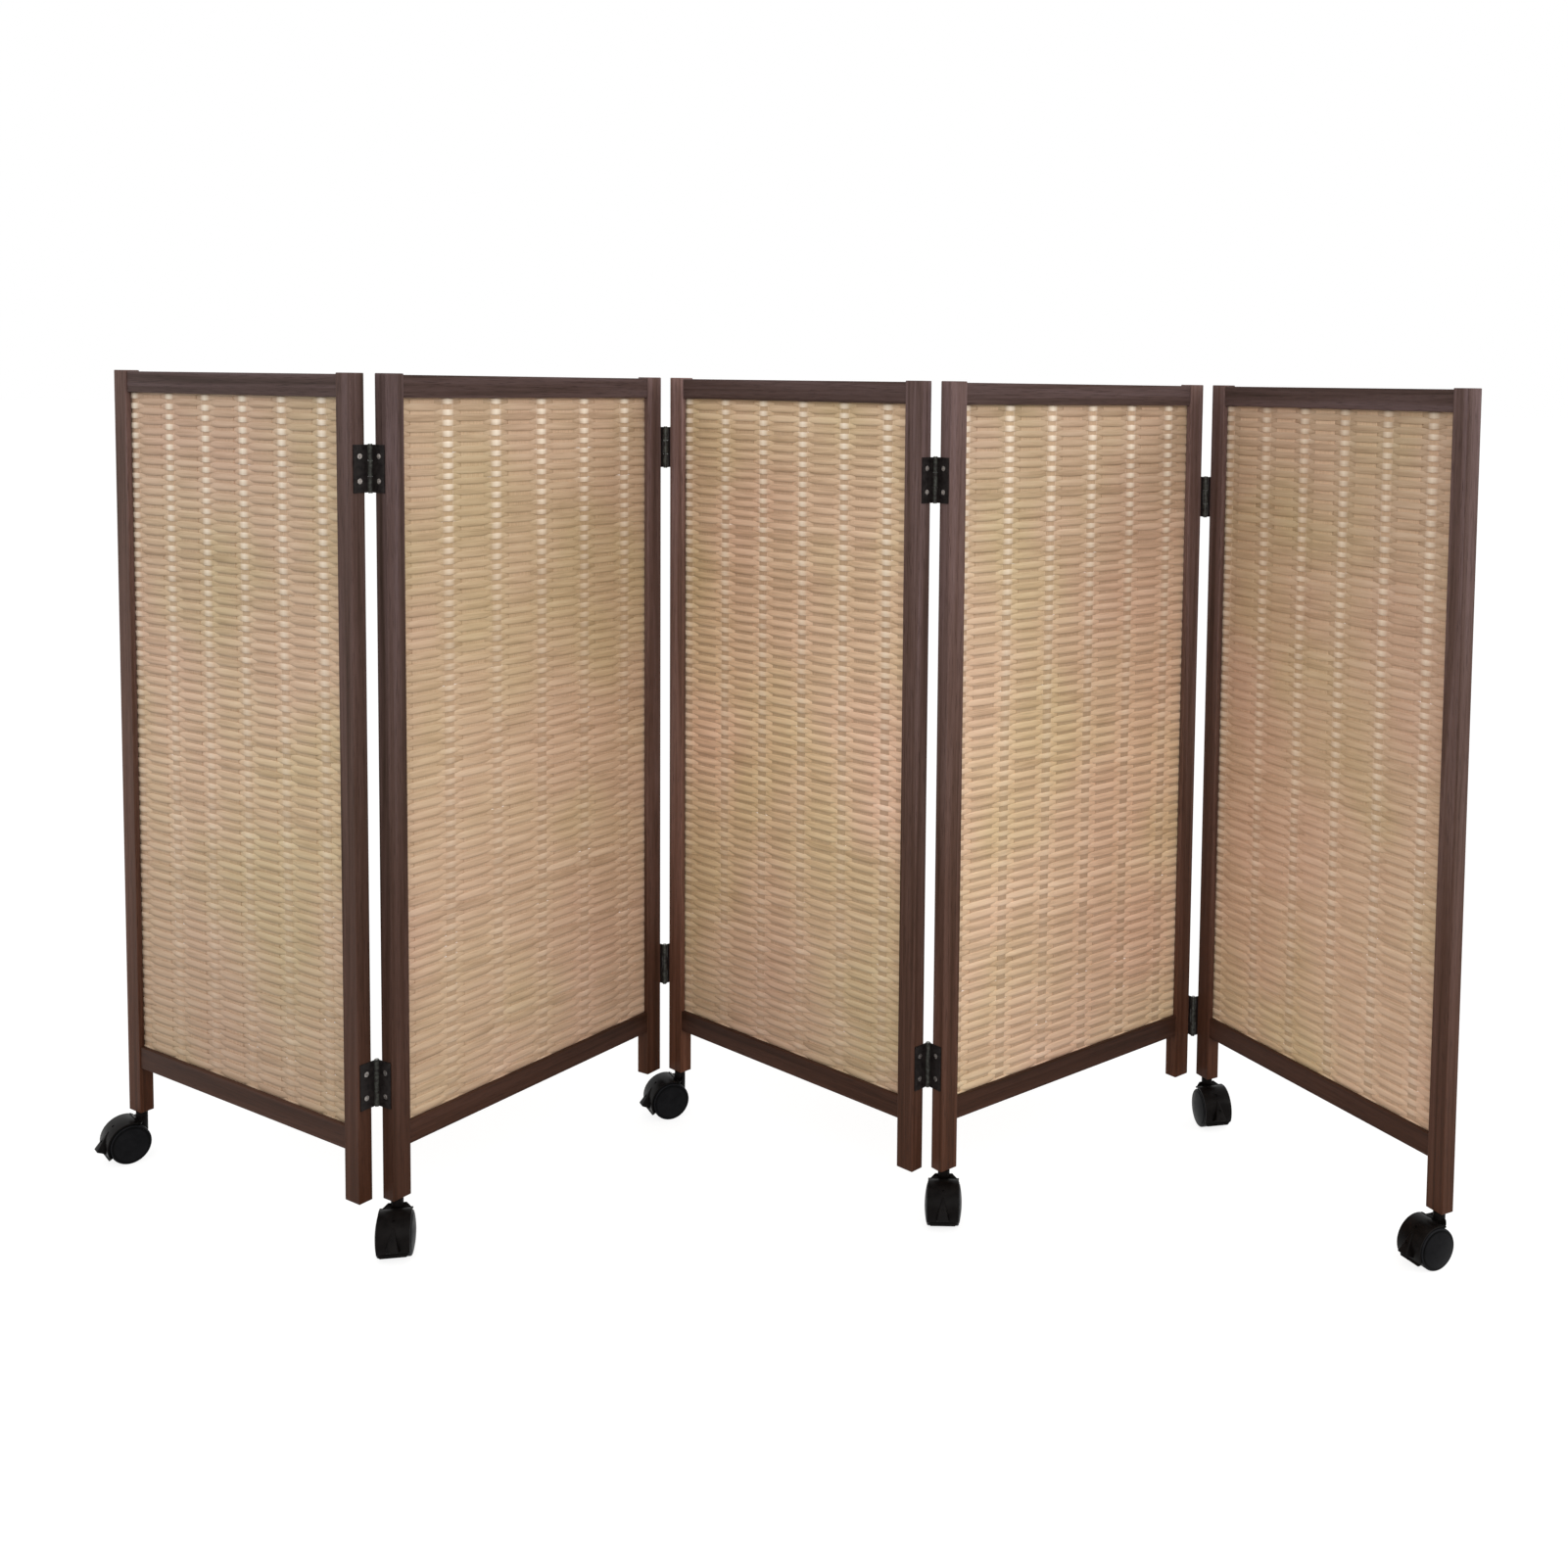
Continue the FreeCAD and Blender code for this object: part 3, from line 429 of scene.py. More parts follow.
screw_steel = metal("screw_steel", dark=(0.36, 0.33, 0.31), light=(0.62, 0.58, 0.55), metallic=1.0,
                    smooth=0.25, rough=0.45, scale=400)
pin_steel = metal("pin_steel", dark=(0.16, 0.16, 0.15), light=(0.30, 0.30, 0.28), metallic=1.0,
                  smooth=0.3, rough=0.5, scale=300)
METALS = {"hinge_screws": screw_steel, "hinge_pins": pin_steel, "caster_stem": pin_steel,
          "caster_stems": pin_steel, "axle": pin_steel}
for panel in PANELS:
    folds = [joint["pos_m"][:2] for joint in frame["joints"] if joint["name"].startswith("fold_")
             and f"panel_{panel}" in (joint["parent"], joint["child"])]
    METALS[f"panel_{panel}_hinge_leaves"] = metal(
        f"hinge_black_{panel}", dark=(0.006, 0.004, 0.004), light=(0.018, 0.014, 0.013),
        metallic=0.0, smooth=0.3, rough=0.5, scale=260, barrels=folds)
for name, solid in frame["nodes"].items():
    for ending, material in METALS.items():
        if name.endswith(ending):
            dress(solid, material)
print("metal finishes", sorted(METALS))

# %% [markdown]
# ## Plastic of the casters
# Hoods and wheels are moulded black plastic. The hoods have the fine matt texture that a spark-worn
# mould leaves; the wheels have a coarser one, and painted rings: painted shade in a groove inside a
# painted highlight on the rim. Both are nearly black, so that the little that shows of their shape
# comes from their sheen. The painted rings of a wheel follow the distance from its axle, so they lie
# round it however the caster is turned.

# %% Plastic finishes
# Painted light and shade of a wheel's rings (shade in the groove, a highlight on the rim), by their
# share of the outermost ring's reach
PAINTED_RINGS = [(0.0, 1.0), (0.78, 0.9), (0.84, 0.25), (0.89, 0.3), (0.93, 1.5), (1.0, 0.6)]
RING_REACH = 25 * MM
PLASTIC_BLOTCHES = 90
CASTER_LEGS = {1: (1, "left"), 2: (2, "left"), 3: (3, "left"), 4: (4, "left"), 5: (5, "left"),
               6: (5, "right")}


def plastic(name, dark, light, smooth, rough, texture, axle=None):
    """Moulded plastic with fine texture; round an axle it gets painted groove shade and a rim highlight.
    """
    made, tree, principled, shared, colour = blotched(
        name, dark, light, smooth, rough, PLASTIC_BLOTCHES, light_from=0.7,
        Specular_IOR_Level=0.05)
    place = node(tree, "ShaderNodeTexCoord").outputs["Object"]
    # Painted shade in the groove and a painted highlight on the rim, as rings round the axle
    if axle:
        centre, direction = axle
        away = node(tree, "ShaderNodeVectorMath", {0: place, 1: centre}, operation="SUBTRACT")
        away = node(tree, "ShaderNodeVectorMath", {0: away.outputs[0], 1: direction},
                    operation="CROSS_PRODUCT")
        away = node(tree, "ShaderNodeVectorMath", {0: away.outputs[0]}, operation="LENGTH")
        reach = math_node(tree, "DIVIDE", away.outputs["Value"], RING_REACH)
        painted_rings = ramp(tree, reach, [(share, (lightness,) * 3) for share, lightness in PAINTED_RINGS])
        colour = blend(tree, colour, painted_rings, how="MULTIPLY")
    tree.links.new(colour, principled.inputs["Base Color"])
    grains = node(tree, "ShaderNodeTexNoise", {"Vector": place, "Scale": texture, "Detail": 2})
    raise_surface(tree, principled, grains.outputs["Fac"], strength=0.2, distance=0.1 * MM)
    return made


hood_plastic = plastic("hood_plastic", dark=(0.003, 0.0022, 0.002), light=(0.008, 0.0065, 0.006),
                       smooth=0.3, rough=0.42, texture=2500)
for number, (panel, side) in CASTER_LEGS.items():
    centre = middle_of(f"caster_{number}_axle")
    tail = centre - middle_of(f"panel_{panel}_{side}_post")
    direction = Vector((-tail.y, tail.x, 0)).normalized()
    wheel_plastic = plastic(f"wheel_plastic_{number}", dark=(0.006, 0.006, 0.007),
                            light=(0.012, 0.012, 0.0135), smooth=0.34, rough=0.5, texture=1500,
                            axle=(centre, direction))
    dress(frame["nodes"][f"caster_{number}_wheels"], wheel_plastic)
print("plastic on", len(CASTER_LEGS), "pairs of wheels")

# %% [markdown]
# ## Tools for modelling
# Blender's operators act on what is selected, as they do under the mouse. These helpers select one
# piece, or the points or edges of a piece that pass a test of place, so that each step of the
# modelling can be written as one operator.


# %% Helpers for modelling
def alone(piece):
    """Select one piece and make it the active one."""
    bpy.ops.object.select_all(action="DESELECT")
    piece.select_set(True)
    bpy.context.view_layer.objects.active = piece


def edit(piece):
    """Open a piece in edit mode with nothing selected."""
    alone(piece)
    bpy.ops.object.mode_set(mode="EDIT")
    bpy.ops.mesh.select_all(action="DESELECT")


def close():
    """Leave edit mode."""
    bpy.ops.object.mode_set(mode="OBJECT")


def pick(piece, kind, test):
    """Select the points (VERT) or edges (EDGE) whose middle passes a test, in edit mode."""
    bpy.ops.mesh.select_mode(type=kind)
    bpy.ops.mesh.select_all(action="DESELECT")
    form = bmesh.from_edit_mesh(piece.data)
    for thing in form.verts if kind == "VERT" else form.edges:
        middle = thing.co if kind == "VERT" else (thing.verts[0].co + thing.verts[1].co) / 2
        if test(middle):
            thing.select_set(True)
    form.select_flush(True)
    bmesh.update_edit_mesh(piece.data)


def bake_place(piece):
    """Put a piece's place into its mesh."""
    alone(piece)
    bpy.ops.object.transform_apply(location=True, rotation=True, scale=True)


def copy_of(piece, name):
    """Copy with a mesh of its own."""
    made = piece.copy()
    made.data = piece.data.copy()
    made.name = name
    made.data.name = name
    bpy.context.scene.collection.objects.link(made)
    return made


def remove(piece):
    """Take a piece and its mesh out of the scene."""
    mesh = piece.data
    bpy.data.objects.remove(piece)
    bpy.data.meshes.remove(mesh)


def hold(piece, modifier_kind, **settings):
    """Add a modifier and apply it."""
    alone(piece)
    modifier = piece.modifiers.new("step", modifier_kind)
    for name, value in settings.items():
        setattr(modifier, name, value)
    bpy.ops.object.modifier_apply(modifier=modifier.name)


def ease(piece, width, segments, sharper_than):
    """Round the edges that are sharper than an angle in degrees."""
    hold(piece, "BEVEL", width=width, segments=segments, limit_method="ANGLE",
         angle_limit=math.radians(sharper_than))


def cut_away(piece, tool):
    """Take a tool's volume out of a piece, and then remove the tool."""
    hold(piece, "BOOLEAN", operation="DIFFERENCE", solver="EXACT", object=tool)
    remove(tool)


# %% [markdown]
# ## The woven mat
# The mat is a plain weave with a rhythm. Flat upright laths, narrow and wide in turn, stand in the
# middle. Strands as thick as a straw lie across them, one passing in front of the narrow laths and
# behind the wide ones, the next one the other way round. In front of a wide lath a strand is pressed
# broad, and where it slips between two laths its neighbours squeeze it. The short loops over the
# narrow laths catch the light and show as rows of pale dots. One strand of each kind is cut from a
# cylinder at the places where it bends, and each cut is then moved to the front or the back. An array
# stacks the pair to the full height.

# %% Sizes of the weave
MAT_LEFT = 20 * MM
MAT_RIGHT = 430 * MM
MAT_BOTTOM = 80.3 * MM
MAT_TOP = 913 * MM
STRAND_PAIRS = 68
PITCH = (MAT_TOP - MAT_BOTTOM) / (2 * STRAND_PAIRS)
STRAND_SIDES = 8
STRAND_BROAD = 9.2 * MM
STRAND_THICK = 1.4 * MM
# How many times higher the flat front and back of a strand are than those of the cylinder
FLAT_FACE = 1.9
# Along a strand from the middle of a narrow lath: distance and sideways swing in millimetres, and
# the share of its full breadth
BENDS = [(0, 1.1, 0.82), (5, 1.0, 0.76), (9, 0.4, 0.78), (14, -0.3, 0.82), (19, -0.95, 0.96),
         (27, -1.1, 1)]
# A point counts as being at a place from this near
NEAR = 0.1 * MM
NARROW_LATHS = 6
# First narrow lath and distance to the next one; the second mat has its own
RHYTHMS = dict.fromkeys(PANELS, (30 * MM, 72 * MM))
RHYTHMS[2] = (21 * MM, 73.4 * MM)


def narrow_laths(rhythm):
    """Middles of the narrow laths of a mat."""
    first, step = rhythm
    return [first + step * number for number in range(NARROW_LATHS)]


print("strands", 2 * STRAND_PAIRS, "pitch", round(PITCH / MM, 3), "mm")


# %% One strand
def strand(name, rhythm, loop_side):
    """Strand that passes narrow laths on one side (-1 is the front) and wide laths on the other."""
    middle = ((MAT_LEFT + MAT_RIGHT) / 2, 0, 0)
    made = primitive(name, bpy.ops.mesh.primitive_cylinder_add, vertices=STRAND_SIDES,
                     radius=STRAND_BROAD / 2, depth=MAT_RIGHT - MAT_LEFT, location=middle,
                     rotation=(0, QUARTER_TURN, 0))
    bake_place(made)
    edit(made)
    bpy.ops.mesh.select_all(action="SELECT")
    bpy.ops.transform.rotate(value=math.pi / STRAND_SIDES, orient_axis="X", center_override=middle)
    bpy.ops.transform.resize(value=(1, STRAND_THICK / STRAND_BROAD, 1), center_override=middle)
    pick(made, "VERT", lambda point: abs(point.z) < STRAND_BROAD / 4)
    bpy.ops.transform.resize(value=(1, 1, FLAT_FACE), center_override=middle)
    stations = {}
    for lath in narrow_laths(rhythm):
        for reach, swing, breadth in BENDS:
            for side in (-1, 1):
                place = lath + side * reach * MM
                if MAT_LEFT + MM < place < MAT_RIGHT - MM:
                    stations[round(place, 5)] = (swing, breadth)
    for place in stations:
        bpy.ops.mesh.select_all(action="SELECT")
        bpy.ops.mesh.bisect(plane_co=(place, 0, 0), plane_no=(1, 0, 0))
    ends = {MAT_LEFT: min(stations), MAT_RIGHT: max(stations)}
    for end, nearest in ends.items():
        stations[end] = stations[nearest]
    for place, (swing, breadth) in stations.items():
        pick(made, "VERT", lambda point: abs(point.x - place) < NEAR)
        bpy.ops.transform.resize(value=(1, 1, breadth), center_override=(place, 0, 0))
        bpy.ops.transform.translate(value=(0, swing * loop_side * MM, 0))
    close()
    return made


# %% Pairs of strands
pairs = {}
for rhythm in sorted(set(RHYTHMS.values())):
    front = strand("front_loops", rhythm, -1)
    back = strand("back_loops", rhythm, 1)
    front.location.z = MAT_BOTTOM + PITCH / 2
    back.location.z = MAT_BOTTOM + PITCH * 1.5
    bake_place(front)
    bake_place(back)
    alone(front)
    back.select_set(True)
    bpy.ops.object.join()
    pairs[rhythm] = front
    print("pair of strands,", len(front.data.vertices), "points,", len(front.data.polygons), "faces")

# %% [markdown]
# ## What makes each mat different
# Real strands are never alike. After stacking, each one gets its own tone, a slightly different
# breadth, and a slow wander up and down, small enough that it still touches its neighbours. The
# random numbers come from a seed, so that every run gives the same mat. The five mats differ too:
# each gets its own painted light and shade, lighter in the middle on one and near the foot on
# another, and their pale loops and painted shade between the strands are strong or faint. This is
# given as a few values for each mat, at four heights, and runs smoothly in between. Five values stay
# on the mesh for the finish to read: the tone of the strand, how far a point is on a pale loop, the
# mat's painted light and shade there, how far down a point is on its strand for the painted shade
# on its underside, and the point's place in the panel.

# %% Looks of the five mats
# Shares of a mat's height for which the values are given
HEIGHTS = (0.1, 0.5, 0.73, 0.95)
# Painted light and shade on the strands of each mat
PAINTED_MAT_LIGHT = {1: (0.79, 1.06, 0.98, 0.89), 2: (0.97, 0.99, 0.93, 0.85), 3: (0.89, 1.25, 1.14, 1.03),
          4: (1.18, 1.26, 1.07, 0.81), 5: (1.08, 0.95, 0.86, 0.77)}
# How pale the loops are: paler rubbed straw and a painted highlight, stronger towards the top
RUBBED_LOOP_HIGHLIGHTS = {1: (0.12, 0.3, 0.6, 0.95), 2: (0.1, 0.25, 0.4, 1), 3: (0.14, 0.3, 0.6, 0.95),
         4: (0.1, 0.2, 0.5, 0.95), 5: (0.2, 0.5, 0.6, 0.6)}
# Painted shade on the wide laths, where they show between the strands
PAINTED_GAP_SHADE = {1: (0.4, 0.42, 0.44, 0.44), 2: (0.25, 0.22, 0.26, 0.22), 3: (0.3, 0.32, 0.36, 0.34),
          4: (0.26, 0.32, 0.36, 0.38), 5: (0.2, 0.1, 0.1, 0.1)}
# Painted shade on the narrow laths of every mat, where they show between the strands
NARROW_PAINTED_GAP_SHADE = (0.5, 0.36, 0.38, 0.43)
# Share of a strand's height, from its top, below which its underside gets painted shade
PAINTED_UNDERSIDE = {1: 0.62, 2: 0.72, 3: 0.62, 4: 0.66, 5: 0.82}


def by_height(points, values):
    """Value for each point, between those that the mat has at the four heights."""
    return np.interp(points[:, 2] / MAT_TOP, HEIGHTS, values)


print("mats", sorted(PAINTED_MAT_LIGHT), "with values at", HEIGHTS, "of their height")

# %% Stack the strands of a mat
# A loop is pale, as rubbed straw with a painted highlight, up to this distance from the middle of
# its lath, and evenly so in its core
LOOP_REACH = 7.0 * MM
LOOP_CORE = 1.25
# Waves of a strand's wander: radians for each metre, and height
WANDERS = ((9, 0.2 * MM), (23, 0.14 * MM), (61, 0.08 * MM))
# Tones lie around 0.5, apart from the few strands that are much darker or paler
TONE_SPREAD = 0.06
DARK_STRAND = 0.3
DARK_SHARE = 0.05
PALE_STRAND = 0.72
PALE_SHARE = 0.03
BREADTH_SPREAD = 0.04
STRAND_SEED = 40
# How far apart in the noises of the finish the mats lie, so that none repeats its neighbour
MAT_STEP = 0.4


def attribute(piece, name, kind, values):
    """Store one value or vector for each point."""
    made = piece.data.attributes.new(name, kind, "POINT")
    key = "vector" if kind == "FLOAT_VECTOR" else "value"
    made.data.foreach_set(key, np.asarray(values, np.float32).ravel())


def points_of(piece):
    """Places of a piece's points, one in each row."""
    values = np.empty(len(piece.data.vertices) * 3, np.float32)
    piece.data.vertices.foreach_get("co", values)
    return values.reshape(-1, 3)


def weave(panel):
    """Strands of one mat, stacked and made uneven."""
    rhythm = RHYTHMS[panel]
    made = copy_of(pairs[rhythm], f"panel_{panel}_woven_strands")
    hold(made, "ARRAY", count=STRAND_PAIRS, use_relative_offset=False, use_constant_offset=True,
         constant_offset_displace=(0, 0, 2 * PITCH))
    points = points_of(made)
    strands = points.reshape(2 * STRAND_PAIRS, -1, 3)
    random = np.random.default_rng(STRAND_SEED + panel)
    tones = random.normal(0.5, TONE_SPREAD, len(strands))
    odd = random.random(len(strands))
    tones = np.where(odd > 1 - PALE_SHARE, PALE_STRAND, tones)
    tones = np.where(odd < DARK_SHARE, DARK_STRAND, tones).clip(0.2, 0.8)
    breadths = random.normal(1, BREADTH_SPREAD, len(strands)).clip(0.92, 1.08)
    along = strands[:, :, 0]
    levels = strands[:, :, 2]
    middles = levels.mean(axis=1, keepdims=True)
    wander = np.zeros_like(along)
    for wave, size in WANDERS:
        phase = random.random((len(strands), 1)) * 2 * math.pi
        wander += size * np.sin(along * wave + phase)
    lower = (0.5 - (levels - middles) / STRAND_BROAD).clip(0, 1)
    strands[:, :, 2] = middles + (levels - middles) * breadths[:, None] + wander
    strands[:, :, 2] = strands[:, :, 2].clip(MAT_BOTTOM, MAT_TOP)
    made.data.vertices.foreach_set("co", strands.ravel())
    laths = np.array(narrow_laths(rhythm))
    reach = np.abs(points[:, 0, None] - laths[None, :]).min(axis=1)
    loop = (LOOP_CORE * (1 - (reach / LOOP_REACH) ** 2)).clip(0, 1)
    attribute(made, "strand_tone", "FLOAT", np.repeat(tones, strands.shape[1]))
    # Pale loops: paler rubbed straw with a painted highlight, stronger towards the top
    attribute(made, "loop_highlight_and_gap_shade", "FLOAT", loop * by_height(points, RUBBED_LOOP_HIGHLIGHTS[panel]))
    # Painted light and shade of the mat at this height
    attribute(made, "painted_mat_light", "FLOAT", by_height(points, PAINTED_MAT_LIGHT[panel]))
    # How far down a point is on its strand, for the painted shade on its underside
    attribute(made, "painted_underside", "FLOAT", lower - PAINTED_UNDERSIDE[panel])
    attribute(made, "panel_place", "FLOAT_VECTOR", points + (0, panel * MAT_STEP, 0))
    alone(made)
    bpy.ops.object.shade_smooth_by_angle(angle=math.radians(60))
    return made


# %% [markdown]
# The upright laths are thin split cane. Each is one flat box with eased edges, and all the laths of
# a mat are one piece. They stop inside the grooves of the rails, as the strands stop inside the
# grooves of the posts. A wide lath of which the post would leave only a sliver is left out.

# %% Laths of a mat
NARROW_LATH = 14 * MM
WIDE_LATH = 34 * MM
LATH_THICK = 0.8 * MM
LATH_EASE = 0.35 * MM
SLIVER = 3 * MM
LATH_SEED = 70
LATH_TONE_SPREAD = 0.05


def lath(middle, width):
    """One upright lath."""
    made = primitive("lath", bpy.ops.mesh.primitive_cube_add, size=1,
                     location=(middle, 0, (MAT_BOTTOM + MAT_TOP) / 2),
                     scale=(width, LATH_THICK, MAT_TOP - MAT_BOTTOM))
    bake_place(made)
    edit(made)
    pick(made, "EDGE", lambda point: abs(abs(point.x - middle) - width / 2) < NEAR)
    bpy.ops.mesh.bevel(offset=LATH_EASE, segments=2)
    close()
    return made


def warp(panel):
    """All the laths of one mat."""
    middles = narrow_laths(RHYTHMS[panel])
    step = RHYTHMS[panel][1]
    laths = [(lath(place, NARROW_LATH), NARROW_PAINTED_GAP_SHADE) for place in middles]
    for place in [middles[0] - step / 2] + [place + step / 2 for place in middles]:
        low = max(place - WIDE_LATH / 2, MAT_LEFT)
        high = min(place + WIDE_LATH / 2, MAT_RIGHT)
        if high - low > SLIVER:
            laths.append((lath((low + high) / 2, high - low), PAINTED_GAP_SHADE[panel]))
    tones = []
    loop_highlight_and_gap_shade = []
    random = np.random.default_rng(LATH_SEED + panel)
    for piece, lath_shade in laths:
        tones += [random.normal(0.5, LATH_TONE_SPREAD)] * len(piece.data.vertices)
        # Painted shade on the lath, where it shows between the strands, by height
        loop_highlight_and_gap_shade += list(by_height(points_of(piece), lath_shade))
    alone(laths[0][0])
    for piece, lath_shade in laths:
        piece.select_set(True)
    bpy.ops.object.join()
    made = bpy.context.object
    made.name = f"panel_{panel}_laths"
    attribute(made, "strand_tone", "FLOAT", tones)
    attribute(made, "loop_highlight_and_gap_shade", "FLOAT", loop_highlight_and_gap_shade)
    # The laths get no painted light and shade of the mat
    attribute(made, "painted_mat_light", "FLOAT", [1.0] * len(tones))
    attribute(made, "panel_place", "FLOAT_VECTOR", points_of(made) + (0, panel * MAT_STEP, 0))
    return made


# %% [markdown]
# ## Finish of the mat
# The straw is pale tan with a little sheen. Its colour starts from the tone of the strand, which fine
# fibres and longer stains make uneven. Broad patches turn the whole mat greener or pinker, and the
# values stored on the mesh do the rest: they paint light and shade on it by height, paint shade on
# the underside of each strand, and add the marks. The marks are pale where the strands' loops are
# rubbed, with a painted highlight, and they are painted shade on the laths between the strands.
# All of it reads the place in the panel that is stored on the mesh, so the fibres follow the strand
# on every panel.

# %% Straw finish
STRAWS = [(0.0, (0.48, 0.32, 0.205)), (0.5, (0.71, 0.505, 0.35)), (1.0, (0.84, 0.635, 0.465))]
STAIN_SCALE = (14, 1, 160)
PATCH_SCALE = 4.5
PATCHES = [(0.34, (0.94, 0.995, 0.87)), (0.5, (1, 1, 0.98)), (0.66, (1.01, 0.965, 0.985))]
# Painted shade on a strand's underside: how far below its edge it is at its darkest, and how dark
# that is
PAINTED_UNDERSIDE_DEPTH = 0.3
PAINTED_UNDERSIDE_SHADE = 0.76
# The marks are faintest where the stains are below the first value, strongest above the second
STAINS_LOW = 0.3
STAINS_HIGH = 0.65
STRONGEST_MARK = 1.1


def stored(tree, name, output="Fac"):
    """Value that the mesh keeps for each point."""
    return node(tree, "ShaderNodeAttribute", attribute_name=name).outputs[output]


def straw(name, fibre_scale, painted_mark_colour, faintest_mark):
    """Straw with fibres along it, and marks in their own colour: rubbed loops with painted highlight,
    painted shade on laths.
    """
    made, tree, principled = finish(name, Roughness=0.6, Specular_IOR_Level=0.3)
    place = stored(tree, "panel_place", "Vector")
    fibres = stretched_noise(tree, place, fibre_scale, Detail=4, Roughness=0.65)
    stains = stretched_noise(tree, place, STAIN_SCALE, Detail=2)
    wander = math_node(tree, "SUBTRACT", math_node(tree, "ADD", fibres, stains), 1.0)
    colour = ramp(tree, math_node(tree, "ADD", stored(tree, "strand_tone"), wander), STRAWS)
    patches = node(tree, "ShaderNodeTexNoise", {"Vector": place, "Scale": PATCH_SCALE, "Detail": 2})
    tint = ramp(tree, patches.outputs["Fac"], PATCHES)
    # Painted shade on each strand's underside
    shade = remap(tree, stored(tree, "painted_underside"), 0.0, PAINTED_UNDERSIDE_DEPTH, 1.0, PAINTED_UNDERSIDE_SHADE)
    # The patches' tint, the mat's painted light and shade, and the painted shade on the underside
    for effect in (tint, stored(tree, "painted_mat_light"), shade):
        colour = blend(tree, colour, effect, how="MULTIPLY")
    # The marks: pale loops with a painted highlight on the strands, painted shade on the laths
    uneven = remap(tree, stains, STAINS_LOW, STAINS_HIGH, faintest_mark, STRONGEST_MARK)
    loop_highlight_and_gap_shade = math_node(tree, "MULTIPLY", stored(tree, "loop_highlight_and_gap_shade"), uneven, clamp=True)
    colour = blend(tree, colour, (*painted_mark_colour, 1), loop_highlight_and_gap_shade)
    tree.links.new(colour, principled.inputs["Base Color"])
    raise_surface(tree, principled, fibres, strength=0.3, distance=0.2 * MM)
    return made


# Loop colour: rubbed straw with a painted highlight; on the laths the mark colour is painted shade
strand_straw = straw("strand_straw", fibre_scale=(30, 900, 1500), painted_mark_colour=(1.0, 0.87, 0.71),
                     faintest_mark=0.9)
lath_straw = straw("lath_straw", fibre_scale=(1200, 900, 25), painted_mark_colour=(0.41, 0.27, 0.172),
                   faintest_mark=0.4)
print("straw finishes with", len(strand_straw.node_tree.nodes), "nodes each")

# %% Put the mats in their frames
for panel in PANELS:
    strands = weave(panel)
    dress(strands, strand_straw)
    laths = warp(panel)
    dress(laths, lath_straw)
    for piece in (strands, laths):
        piece.matrix_world = panel_frames[panel]
        bake_place(piece)
        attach(piece, f"panel_{panel}")
    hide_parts(f"panel_{panel}_mat")
    print("panel", panel, "mat", len(strands.data.polygons) + len(laths.data.polygons), "faces")
for pair in pairs.values():
    remove(pair)

# %% [markdown]
# ## Hoods of the casters
# A caster's hood is moulded in one piece with the web between the wheels, the hub on the axle and the
# neck under the leg. Its cross-section is spun round the axle, and its four corners are rounded, the
# two by the neck into shoulders. A beak that a foot can press stands out at the tail: from behind it
# is a triangle, and from the side a wedge. It starts as a cube whose corners are drawn to the wedge's
# corners, and a drum cuts it to the curve of the hood. Two small dents are cut last. Everything is
# modelled once, with X pointing to the tail and Z up from the floor under the leg, and then copied to
# the six legs.

# %% Sizes of a caster
AXLE = Vector((18, 0, 24.5)) * MM
HOOD_INSIDE = 25.5 * MM
HOOD_OUTSIDE = 27.5 * MM
HOOD_WIDTH = 36.5 * MM
# Angles round the axle, from the tail upwards
HOOD_START = math.radians(-32)
HOOD_END = math.radians(124)
WEB_END = math.radians(138)
# How far the two corners at the tail and the two by the neck are rounded
TAIL_CORNER = 4 * MM
NECK_CORNER = 8 * MM
NECK_RADIUS = 7 * MM
NECK_TOP = 58.2 * MM
NECK_FOOT = 32.2 * MM
HUB_RADIUS = 6 * MM
WEB_THICK = 4 * MM
WEB_OUTSIDE = HOOD_OUTSIDE - MM
# Turn that lays a rod along the axle
ALONG_AXLE = (QUARTER_TURN, 0, 0)


def on_hood(angle, reach):
    """Point at a distance from the axle, on the ray that rises at an angle from the tail."""
    return AXLE + Vector((math.cos(angle), 0, math.sin(angle))) * reach


print("hood", round(HOOD_WIDTH / MM, 1), "mm wide, neck up to", round(NECK_TOP / MM, 1), "mm")


# %% Spun strips and round rods
def strip(name, inside, outside, width, start, end, steps):
    """Strip round the axle, spun from its cross-section at the start."""
    made = primitive(name, bpy.ops.mesh.primitive_plane_add, size=1,
                     location=on_hood(start, (inside + outside) / 2), rotation=(0, -start, 0))
    made.scale = (outside - inside, width, 1)
    bake_place(made)
    edit(made)
    bpy.ops.mesh.select_all(action="SELECT")
    bpy.ops.mesh.spin(steps=steps, angle=end - start, center=AXLE, axis=(0, 1, 0))
    bpy.ops.mesh.select_all(action="SELECT")
    bpy.ops.mesh.remove_doubles(threshold=0.01 * MM)
    bpy.ops.mesh.normals_make_consistent(inside=False)
    close()
    return made


def rod(name, radius, depth, place, turn=(0, 0, 0), sides=32):
    """Round rod."""
    made = primitive(name, bpy.ops.mesh.primitive_cylinder_add, vertices=sides, radius=radius,
                     depth=depth, location=place, rotation=turn)
    bake_place(made)
    return made


